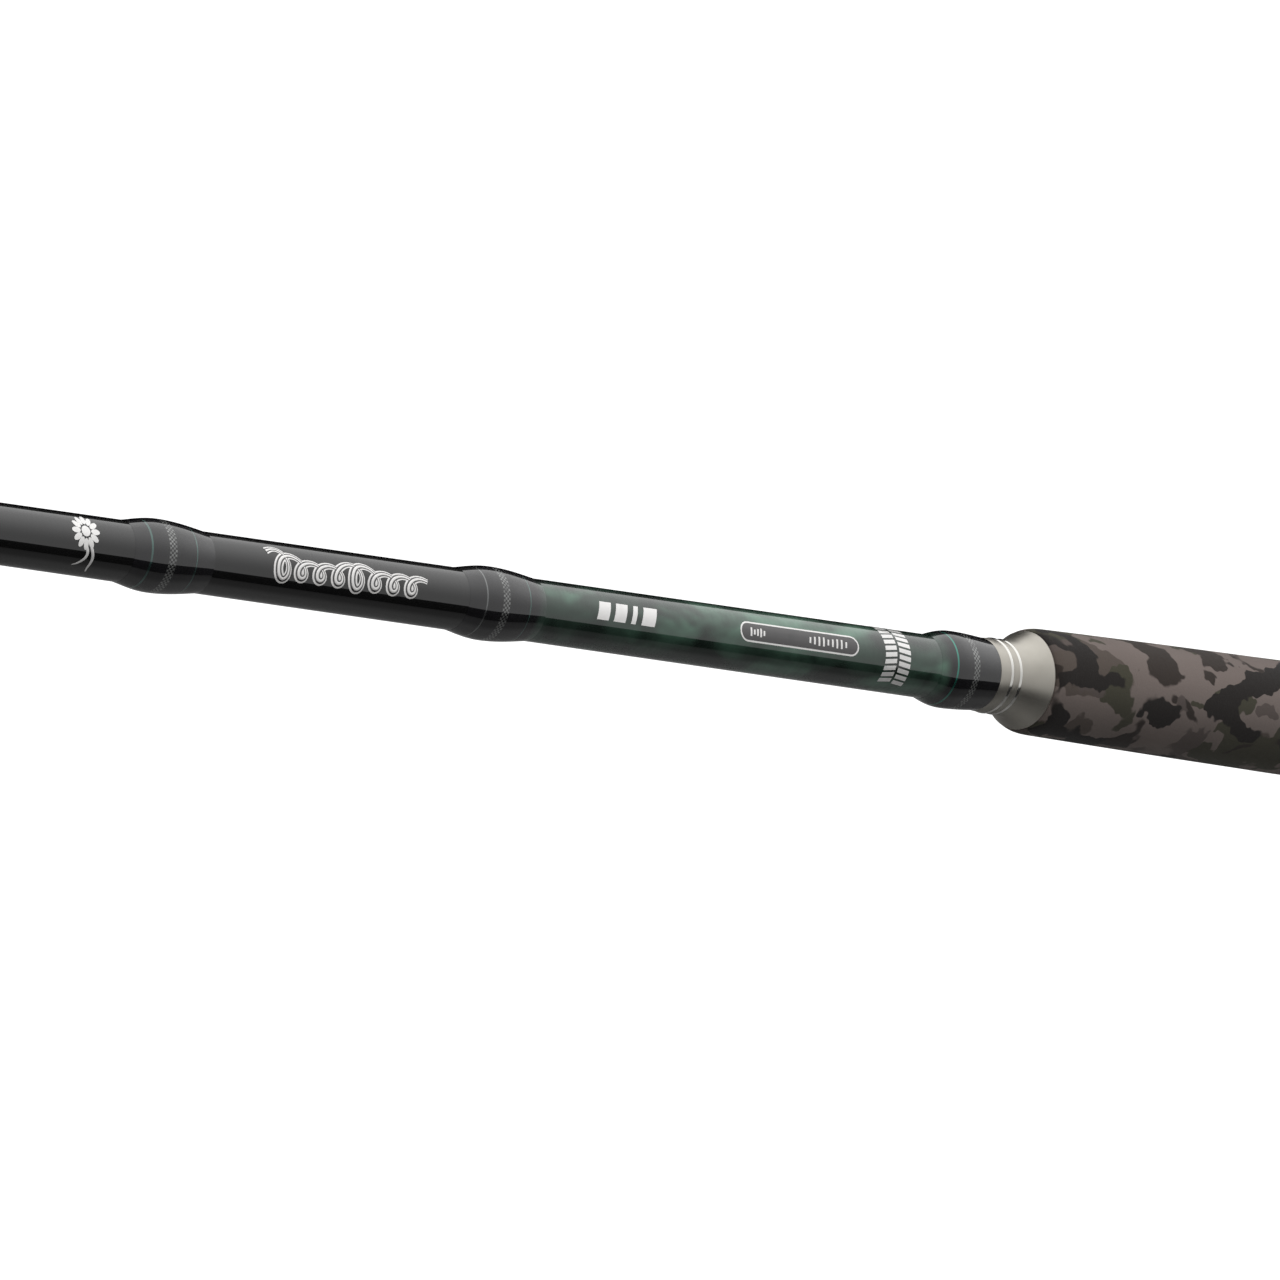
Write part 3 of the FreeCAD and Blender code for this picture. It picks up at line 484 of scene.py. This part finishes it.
def running_loops(half_width):
    """Loops like a pen's first strokes, tall at the start and past the middle."""
    points, widths = [], []
    for t in between(0, 1, 150):
        angle = t * LOOPS * math.tau + 2.6
        rise = sum(more * math.exp(-((t - at) / spread) ** 2) for at, spread, more in TALL_LOOPS)
        tall = LOOP_HEIGHT + rise
        x = (t - 0.5) * FLOURISH_LENGTH
        x -= LOOP_REACH * math.sin(angle) * (0.75 + 0.125 * tall)
        points.append((x, 0.6 * rise - 0.7 - tall * math.cos(angle)))
        widths.append(half_width * (0.8 + 0.3 * math.sin(angle + 0.6)))
    return points, widths


for layer, (half_width, foil, flatness) in enumerate(
    [(1.2, "white", 0.04), (0.9, "black", 0.1), (0.46, "white", 0.26)]
):
    wire = stroke(f"flourish_{foil}_{layer}", *running_loops(half_width), flatness)
    lay_on_blank(wire, FLOURISH_AT, foil, layers=0)

BARS_AT = -638.3
BAR_HALF_HEIGHT = 2.3
BAR_LEAN = 1.1


def slanted_bar(left, width, half_height, lean):
    """A bar on end whose top is shifted towards the butt by lean."""
    low = [(left, -half_height), (left + width, -half_height)]
    return flat_shape(low + [(x + lean, half_height) for x, _ in reversed(low)])


bars = [
    slanted_bar(left, width, BAR_HALF_HEIGHT, BAR_LEAN)
    for left, width in ((-10.2, 3.6), (-5.0, 3.6), (0.4, 1.4), (3.6, 4.2))
]
lay_on_blank(join_shapes("slanted_bars", bars), BARS_AT, "white")

PLATE_AT = -583.4
PLATE_LENGTH, PLATE_HEIGHT = 39, 4.9
PLATE_MARGIN = 0.3
PLATE_EDGE = 0.42
GAUGE_MARKS = ((-16.4, 1.05, 5, (2.2, 1.3, 1.7)), (3.0, 1.5, 9, (1.5, 1.9, 2.3, 2.3)))
MARK_WIDTH, MARK_LEAN = 0.55, 0.15


def stadium(length, height, count=12):
    """A bar with round ends."""
    corners = []
    for side in (1, -1):
        for i in range(count):
            angle = side * (math.pi / 2 - math.pi * i / (count - 1))
            lift = math.sin(angle) * height / 2
            reach = math.cos(angle) * height / 2
            corners.append((side * ((length - height) / 2 + reach), lift))
    return corners


plate = join_shapes("plate_field", [flat_shape(stadium(PLATE_LENGTH, PLATE_HEIGHT))])
lay_on_blank(plate, PLATE_AT, "black")
rim = stadium(PLATE_LENGTH + PLATE_MARGIN, PLATE_HEIGHT + PLATE_MARGIN)
plate_edge = join_shapes("plate_edge", [flat_shape(rim)])
bpy.ops.object.mode_set(mode="EDIT")
bpy.ops.mesh.select_all(action="SELECT")
bpy.ops.mesh.inset(thickness=PLATE_EDGE * MM)
bpy.ops.mesh.delete(type="FACE")
bpy.ops.object.mode_set(mode="OBJECT")
lay_on_blank(plate_edge, PLATE_AT, "white", 2)
marks = [
    slanted_bar(first + i * pitch, MARK_WIDTH, heights[i % len(heights)] / 2, MARK_LEAN)
    for first, pitch, count, heights in GAUGE_MARKS
    for i in range(count)
]
lay_on_blank(join_shapes("plate_marks", marks), PLATE_AT, "white", 2)

RING_AT = -550.3
RING_ROWS, RING_LOWEST, ROW_PITCH, ROW_HEIGHT = 11, -8.4, 1.72, 1.15
ROW_INNER, ROW_OUTER = 0.4, 4.3
ROW_LEAN = 0.5
ring_bars = []
for i in range(RING_ROWS):
    low = RING_LOWEST + i * ROW_PITCH
    for left, right, lean in (
        (-ROW_OUTER, -ROW_INNER, ROW_LEAN),
        (ROW_INNER, ROW_OUTER, -ROW_LEAN),
    ):
        under = [(left, low), (right, low + lean)]
        over = [(x, z + ROW_HEIGHT) for x, z in reversed(under)]
        ring_bars.append(flat_shape(under + over))
lay_on_blank(join_shapes("barred_ring", ring_bars), RING_AT, "white")

ROSETTE_AT = -793.8
ROSETTE_CENTRE = (-0.6, 1.3)
PETALS = 12


def circle(count):
    """Angles evenly spaced round a full turn."""
    return [math.tau * i / count for i in range(count)]


petals = []
for lean in circle(PETALS):
    outline = []
    for angle in circle(12):
        out, aside = math.cos(angle), math.sin(angle)
        outline.append(
            (
                math.cos(lean) * (2.5 + 1.15 * out) - math.sin(lean) * 0.62 * aside,
                math.sin(lean) * (3.0 + 1.35 * out) + math.cos(lean) * 0.72 * aside,
            )
        )
    petals.append(flat_shape(outline, ROSETTE_CENTRE))
boss = [(math.cos(angle) * 1.15, math.sin(angle) * 1.3) for angle in circle(20)]
petals.append(flat_shape(boss, ROSETTE_CENTRE))
lay_on_blank(join_shapes("rosette", petals), ROSETTE_AT, "white")
for name, points in (
    ("rosette_tail_front", [(0.5, -1.5), (1.6, -3.4), (2.2, -5.4), (1.4, -7.4), (1.9, -8.6)]),
    ("rosette_tail_rear", [(-0.6, -1.8), (0.4, -3.4), (0.2, -5.0), (-1.4, -6.4), (-2.6, -7.0)]),
):
    tail = stroke(name, points, [0.3, 0.38, 0.34, 0.26, 0.12], 0.12)
    lay_on_blank(tail, ROSETTE_AT, "white", layers=0)

# ---- Winding check ----
# Turned from aluminium bar and blasted satin, with two beads polished bright. Its spigot is
# pressed into the foregrip, its flange closes the foam's end, and the first wrap meets its nose.

SPIGOT_END, SPIGOT_RADIUS = -495.2, 11.6
FOAM_FACE = -499.2
FLANGE = -500.0
CHECK_BORE = 8.23
FLARE_LENGTH, FLARE_TOP, FLARE_DROP = 5.3, 12.55, 2.55
BEADS = (-508.4, -511.5)
BEAD_HALF = 0.45
BEAD_SHAPE = [
    (1.0, 9.62),
    (0.6, 9.52),
    (0.42, 9.62),
    (0.22, 9.76),
    (0.0, 9.81),
    (-0.22, 9.76),
    (-0.42, 9.62),
    (-0.6, 9.52),
    (-1.0, 9.6),
]
check_outline = [
    (SPIGOT_END, CHECK_BORE),
    (SPIGOT_END, SPIGOT_RADIUS),
    (FOAM_FACE, SPIGOT_RADIUS),
    (FOAM_FACE, 12.5),
    (-499.35, 12.72),
    (-499.6, 12.8),
    (-499.85, 12.74),
    (FLANGE, 12.6),
]
for t in between(0, 1, 9)[1:]:
    radius = FLARE_TOP - FLARE_DROP * (1 - (1 - t) ** 1.25)
    check_outline.append((FLANGE - FLARE_LENGTH * t, radius))
for bead in BEADS:
    check_outline += [(bead + aside, radius) for aside, radius in BEAD_SHAPE]
check_outline += [
    (-514.4, 9.45),
    (-515.0, 9.42),
    (-515.3, 9.3),
    (NOSE_OF_CHECK[0], 9.1),
    (NOSE_OF_CHECK[0], CHECK_BORE),
]


def check_finish():
    finish, place = new_finish("satin_aluminium", Metallic=1.0, Specular_IOR_Level=0.5)
    tooling = place.noise(2600, (1, 0.03, 0.03), 2)
    blast = place.noise(1500, detail=3)
    stain = place.noise(180, detail=2)
    beads = sum(
        place.axis(0).within((bead - BEAD_HALF) * MM, (bead + BEAD_HALF) * MM, 0.1 * MM)
        for bead in BEADS
    )
    satin = stain.mix(paint(178, 174, 165), paint(198, 194, 185))
    return lay(
        finish,
        Base_Color=beads.mix(satin, paint(236, 235, 230)),
        Roughness=(blast * 0.1 + 0.33) * (1 - beads * 0.62),
        Normal=(tooling * 0.5 + blast * 0.5 * (1 - beads)).bump(0.012 * MM),
    )


aluminium = check_finish()
check = turn("winding_check", check_outline, 128, 28)
check.data.materials.append(aluminium)
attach(check, "butt_section")
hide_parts("front_check")

# ---- Grips ----
# Lengths of EVA foam moulded in blocks of mixed colours, glued on the blank and ground to shape
# while the rod turns, so that the camouflage runs right through and the skin is soft and matt.


def camouflage_finish():
    finish, place = new_finish("camo_foam", IOR=1.4, Sheen_Weight=0.12, Sheen_Roughness=0.5)
    warp = place.noise(160, detail=2, shift=0.21, output=1).vector("SUBTRACT", (0.5, 0.5, 0.5))
    bent = place.vector("ADD", warp.vector("SCALE", 7 * MM))
    ground = bent.noise(45, (0.8, 1, 1), 1, shift=0.1)
    colour = ground.mix(paint(114, 103, 98), paint(127, 116, 111))
    patches = [
        (46, 0.575, 0.9, paint(86, 77, 71)),
        (58, 0.59, 2.3, paint(66, 64, 52)),
        (44, 0.545, 3.1, paint(48, 41, 37)),
        (66, 0.60, 4.7, paint(88, 79, 75)),
        (50, 0.60, 5.9, paint(28, 24, 22)),
    ]
    for scale, limit, shift, tint in patches:
        patch = bent.noise(scale, (0.7, 1, 1), 1, 0.7, shift=shift)
        colour = patch.step(limit, limit + 0.014).mix(colour, tint)
    pores = place.noise(2400, detail=2)
    grind = place.noise(700, (1, 0.25, 0.25), 2)
    faded = place.noise(30, detail=2).step(0.2, 0.8) * 0.12 + 0.92
    return lay(
        finish,
        Base_Color=colour.vector("SCALE", faded * (pores * 0.24 + 0.88)),
        Roughness=pores * 0.2 + 0.68,
        Normal=(pores * 0.6 + grind * 0.5).bump(0.09 * MM),
    )


def arc(start, end, swell, count=14):
    """Points from start to end that swell out by this much halfway."""
    (x1, r1), (x2, r2) = start, end
    return [
        (x1 + (x2 - x1) * t, r1 + (r2 - r1) * t + 4 * swell * t * (1 - t))
        for t in between(0, 1, count)
    ]


foam = camouflage_finish()
foregrip_outline = [
    (-350.0, 8.5),
    (-350.0, 13.7),
    (-350.3, 14.4),
    *arc((-351.2, 14.8), (-414.0, 15.15), 0.4),
    *arc((-414.0, 15.15), (-494.0, 13.85), 0.08)[1:],
    (-496.0, 13.76),
    (-497.4, 13.58),
    (-498.4, 13.3),
    (-498.95, 13.0),
    (FOAM_FACE, 12.66),
    (FOAM_FACE, SPIGOT_RADIUS),
    (SPIGOT_END, SPIGOT_RADIUS),
    (SPIGOT_END, 8.5),
]
rear_outline = [
    (95.0, 8.9),
    (95.0, 13.9),
    (94.8, 14.6),
    (94.2, 14.93),
    (93.2, 15.0),
    (-94.0, 15.0),
    *arc((-96.0, 14.98), (-219.0, 13.9), -0.66, 20),
    (-219.75, 13.6),
    (-220.0, 12.9),
    (-220.0, 8.6),
]
for name, outline, node in [
    ("foregrip_foam", foregrip_outline, "foregrip"),
    ("rear_grip_foam", rear_outline, "rear_grip"),
]:
    grip = turn(name, outline, 112)
    grip.data.materials.append(foam)
    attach(grip, "butt_section")
    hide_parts(node)

# ---- Tip section of the blank ----
# The same carbon, rolled thinner, whose base widens into the socket that takes the butt section.

SOCKET_MOUTH = (-908.0, 7.595)
TIP_END = (-1980.0, 1.6)
TIP_SLOPE = (SOCKET_MOUTH[1] - TIP_END[1]) / (SOCKET_MOUTH[0] - TIP_END[0])


def tip_radius(x):
    """The tip section's radius, in millimetres like its place."""
    return SOCKET_MOUTH[1] + TIP_SLOPE * (x - SOCKET_MOUTH[0])


tip_section = turn(
    "blank_tip_tube",
    [
        (SOCKET_MOUTH[0], 6.395),
        (SOCKET_MOUTH[0], 7.3),
        (-908.3, 7.55),
        (-909.0, 7.59),
        *[(x, tip_radius(x)) for x in between(-960, -1978, 12)],
        (-1979.6, 1.55),
        (TIP_END[0], 1.3),
        (TIP_END[0], 0.8),
        (-982.0, 6.04),
    ],
    96,
)
tip_section.data.materials.append(carbon)
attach(tip_section, "tip_section")
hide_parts("tip_blank")

# ---- Turned rings, nut and hoods ----
# The rings and the nut are turned and milled from the same aluminium as the check. The hoods and
# their liners are moulded in nylon, and the barrel in nylon filled with chopped graphite.


def dress(finish, *names):
    """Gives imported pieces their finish."""
    for name in names:
        for holder in nodes[name].material_slots:
            holder.material = finish


def ring_finish():
    finish, place = new_finish("dark_aluminium", Metallic=1.0)
    tooling = place.noise(2200, (1, 0.05, 0.05), 2)
    stain = place.noise(150, detail=2)
    return lay(
        finish,
        Base_Color=stain.mix(paint(150, 147, 140), paint(176, 173, 166)),
        Roughness=tooling * 0.12 + 0.28,
        Normal=tooling.bump(0.015 * MM),
    )


def moulded_finish(name, dark, light, rough, grain):
    finish, place = new_finish(name, IOR=1.5)
    skin = place.noise(grain, detail=3)
    flow = place.noise(60, (0.3, 1, 1), 2)
    return lay(
        finish,
        Base_Color=(skin * 0.5 + flow * 0.5).mix(dark, light),
        Roughness=skin * 0.2 + rough,
        Normal=skin.bump(0.04 * MM),
    )


dark_aluminium = ring_finish()
dress(dark_aluminium, "butt_trim_ring", "stop_ring", "seat_trim_ring", "lock_nut")
seat_plastic = moulded_finish("seat_composite", paint(38, 38, 40), paint(74, 74, 77), 0.36, 1600)
dress(seat_plastic, "seat_barrel", "sliding_hood", "fixed_hood")
liner_plastic = moulded_finish("hood_nylon", paint(70, 71, 72), paint(104, 105, 106), 0.45, 900)
dress(liner_plastic, "sliding_hood_liner", "fixed_hood_liner", "slip_washer")
arbor_foam = moulded_finish("seat_arbor", paint(110, 106, 98), paint(150, 146, 138), 0.8, 1200)
dress(arbor_foam, "seat_arbors")
rubber = moulded_finish("butt_rubber", paint(28, 28, 28), paint(58, 57, 55), 0.62, 700)
dress(rubber, "butt_cap")

# ---- Guides ----
# Frames pressed from steel strip and blackened, each with a polished ceramic ring glued in its
# holder, and bound to the blank by thread over both feet under epoxy.


def frame_finish():
    finish, place = new_finish("guide_steel", Metallic=1.0)
    grain = place.noise(900, detail=3)
    return lay(
        finish,
        Base_Color=grain.mix(paint(128, 130, 134), paint(166, 168, 172)),
        Roughness=grain * 0.14 + 0.26,
        Normal=grain.bump(0.01 * MM),
    )


def ceramic_finish():
    finish, place = new_finish("guide_ceramic", IOR=2.0)
    cloud = place.noise(1200, detail=2)
    return lay(
        finish,
        Base_Color=cloud.mix(paint(66, 70, 78), paint(104, 108, 116)),
        Roughness=cloud * 0.06 + 0.05,
    )


BINDING_RING_IN, BINDING_RING_HALF = 2.2 * MM, 0.16 * MM
BINDING_LENGTHS = (16.5, 14.5, 13.5, 12.5, 11.0, 11.0, 11.0)


def binding_finish(name, wrapped):
    """Black thread under epoxy, with a fine bright ring near both ends of each wrapped stretch."""
    finish, place = new_finish(name, Specular_IOR_Level=0.2, **CLEAR_COAT)
    x = place.axis(0)
    thread = ((x / THREAD_PITCH) * math.tau).math("SINE")
    wear = place.noise(500, detail=2)
    ring = sum(
        x.within(at - BINDING_RING_HALF, at + BINDING_RING_HALF, 0.06 * MM)
        for low, high in wrapped
        for at in (low + BINDING_RING_IN, high - BINDING_RING_IN)
    )
    return lay(
        finish,
        Base_Color=ring.mix(wear.mix(paint(7, 7, 8), paint(26, 25, 28)), paint(*TEAL)),
        Metallic=ring,
        Roughness=wear * 0.15 + 0.3,
        Normal=thread.bump(0.02 * MM),
    )


steel, ceramic = frame_finish(), ceramic_finish()
for guide in [*(f"guide_{number}" for number in range(1, 8)), "tip_top"]:
    dress(steel, f"{guide}_frame")
    dress(ceramic, f"{guide}_ring")
for number, length in enumerate(BINDING_LENGTHS, start=1):
    low, high = (corner.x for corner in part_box(f"guide_{number}_wraps"))
    wrapped = [(low, low + length * MM), (high - length * MM, high)]
    dress(binding_finish(f"guide_{number}_thread", wrapped), f"guide_{number}_wraps")
for wraps in ("ferrule_stop_wrap", "ferrule_wrap", "tip_top_wrap"):
    low, high = (corner.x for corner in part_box(wraps))
    dress(binding_finish(f"{wraps}_thread", [(low, high)]), wraps)

# ---- Studio ----
# The rod lies on a pale table under a long curved diffuser. The diffuser shows only in polished
# surfaces, and two broad lamps give the soft light that shapes the matt ones.

TENT_RADIUS = 1.9
TENT_LENGTH = 9.0
TENT_FROM, TENT_TO = math.radians(28), math.radians(170)
SEEN_FROM = math.radians(47)


def pick_faces(piece, wanted):
    """Opens a piece for editing with just the wanted faces selected."""
    bpy.ops.object.mode_set(mode="EDIT")
    bpy.ops.mesh.select_mode(type="FACE")
    bpy.ops.mesh.select_all(action="DESELECT")
    bpy.ops.object.mode_set(mode="OBJECT")
    for face in piece.data.polygons:
        face.select = wanted(face)
    bpy.ops.object.mode_set(mode="EDIT")


bpy.ops.object.select_all(action="DESELECT")
bpy.ops.mesh.primitive_cylinder_add(
    vertices=180,
    radius=TENT_RADIUS,
    depth=TENT_LENGTH,
    end_fill_type="NOTHING",
    location=(0.6, 0, 0),
    rotation=(0, math.pi / 2, 0),
)
tent = bpy.context.object
tent.name = "diffuser"
bpy.ops.object.transform_apply(location=True, rotation=True, scale=True)
pick_faces(tent, lambda face: not TENT_FROM < math.atan2(face.center.z, -face.center.y) < TENT_TO)
bpy.ops.mesh.delete(type="FACE")
bpy.ops.object.mode_set(mode="OBJECT")
tent.visible_camera = tent.visible_diffuse = tent.visible_shadow = False


def glow(name, strength):
    """A light-giving material, whose strength is worked out from the place on the piece."""
    finish = bpy.data.materials.new(name)
    finish.use_nodes = True
    tree = finish.node_tree
    tree.nodes.clear()
    place = Tone(tree, tree.nodes.new("ShaderNodeTexCoord").outputs["Object"])
    shine = place.node("Emission", {"Strength": strength(place)})
    ending = tree.nodes.new("ShaderNodeOutputMaterial")
    tree.links.new(shine.socket, ending.inputs["Surface"])
    return finish


def tent_strength(place):
    """Dim in front and brighter towards the far side, as one lamp behind a curved sheet gives."""
    around = place.turned()
    return around.step(0.13, 0.36) * 0.62 + around.step(0.36, 0.48) * 0.14 + 0.57


tent.data.materials.append(glow("diffuser_glow", tent_strength))

TABLE_SIZE, TABLE_BELOW = 60, 0.2 * MM
# Where the painted pool of light under the rod fades out into the darker table, in metres from the
# rod's axis.
BESIDE_FROM, BESIDE_TO = 0.03, 0.14
bpy.ops.mesh.primitive_plane_add(
    size=TABLE_SIZE, location=(0, 0, cad_box[0].z - TABLE_BELOW)
)
table = bpy.context.object
table.name = "table"
table_finish = bpy.data.materials.new("table_white")
table_finish.use_nodes = True
tree = table_finish.node_tree
tree.nodes.clear()
camera_ray = Tone(tree, tree.nodes.new("ShaderNodeLightPath").outputs["Is Camera Ray"])
spot = Tone(tree, tree.nodes.new("ShaderNodeTexCoord").outputs["Object"])
# Painted pool of light: the table's colour is lighter in a strip right under the rod and darker
# beside it. It shows in the blank's reflection of the table.
outside_painted_pool = spot.axis(1).math("ABSOLUTE").step(BESIDE_FROM, BESIDE_TO)
painted_pool_greys = outside_painted_pool.mix(paint(146, 146, 146), paint(112, 112, 112))
matt = camera_ray.node("BsdfDiffuse", {"Color": painted_pool_greys})
lift = camera_ray.node("Emission", {"Strength": camera_ray})
both = matt.node("AddShader", {0: matt, 1: lift})
tree.links.new(both.socket, tree.nodes.new("ShaderNodeOutputMaterial").inputs["Surface"])
table.data.materials.append(table_finish)

# A black sheet on the table behind the rod, seen only in reflections: a painted dark reflection
# along the top of the blank.
CARD_BEHIND, CARD_WIDTH = 0.86, 1.6
bpy.ops.mesh.primitive_plane_add(size=1, location=(0, CARD_BEHIND, cad_box[0].z + MM))
card = bpy.context.object
card.name = "black_card"
card.scale = (TENT_LENGTH, CARD_WIDTH, 1)
bpy.ops.object.transform_apply(location=True, rotation=True, scale=True)
card.data.materials.append(glow("painted_reflection_black", lambda place: 0.0))
card.visible_camera = card.visible_diffuse = card.visible_shadow = False

world = bpy.data.worlds.new("studio_air")
bpy.context.scene.world = world
world.use_nodes = True
air = world.node_tree
is_camera = Tone(air, air.nodes.new("ShaderNodeLightPath").outputs["Is Camera Ray"])
AIR_LIGHT = 0.02
air_strength = is_camera * (1 - AIR_LIGHT) + AIR_LIGHT
air.links.new(air_strength.socket, air.nodes["Background"].inputs["Strength"])
air.nodes["Background"].inputs["Color"].default_value = (1, 1, 1, 1)


def lamp(name, place, aim, size, power):
    """A broad lamp that gives soft light but leaves no reflection of its own."""
    light = bpy.data.lights.new(name, "AREA")
    light.shape, light.size, light.energy = "SQUARE", size, power
    holder = bpy.data.objects.new(name, light)
    bpy.context.scene.collection.objects.link(holder)
    holder.location = place
    holder.rotation_euler = (Vector(aim) - Vector(place)).to_track_quat("-Z", "Y").to_euler()
    holder.visible_glossy = holder.visible_camera = False


lamp("key_lamp", (-0.6, 0.9, 2.4), (-0.6, 0, 0), 2.6, 66)
lamp("fill_lamp", (-1.2, -2.2, 1.8), (-0.6, 0, 0), 2.4, 16)

AXIS_POINT = Vector((-0.6306, 0, 0))
CAMERA_DISTANCE = 1.217
TO_AXIS = math.radians(50)
ROD_SLOPE = math.radians(-8.03)
LENS, SENSOR = 142.03, 36
AIM_ASIDE, AIM_ABOVE = -0.00125, 0.00301
ahead = Vector(
    (
        math.cos(TO_AXIS),
        math.sin(TO_AXIS) * math.cos(SEEN_FROM),
        -math.sin(TO_AXIS) * math.sin(SEEN_FROM),
    )
)
level = ahead.cross(Vector((0, 0, 1))).normalized()
above = level.cross(ahead)
roll = math.atan2(above.x, level.x) - ROD_SLOPE
right = level * math.cos(roll) + above * math.sin(roll)
upright = right.cross(ahead)
sight = ahead + right * AIM_ASIDE + upright * AIM_ABOVE
camera = bpy.data.objects.new("camera", bpy.data.cameras.new("camera"))
bpy.context.scene.collection.objects.link(camera)
camera.data.sensor_width = SENSOR
camera.data.lens = LENS
camera.data.clip_start, camera.data.clip_end = 0.05, 200
camera.matrix_world = Matrix.Translation(
    AXIS_POINT - sight.normalized() * CAMERA_DISTANCE
) @ Matrix((right, upright, -ahead)).transposed().to_4x4()
bpy.context.scene.camera = camera
bpy.context.scene.view_settings.view_transform = "Standard"
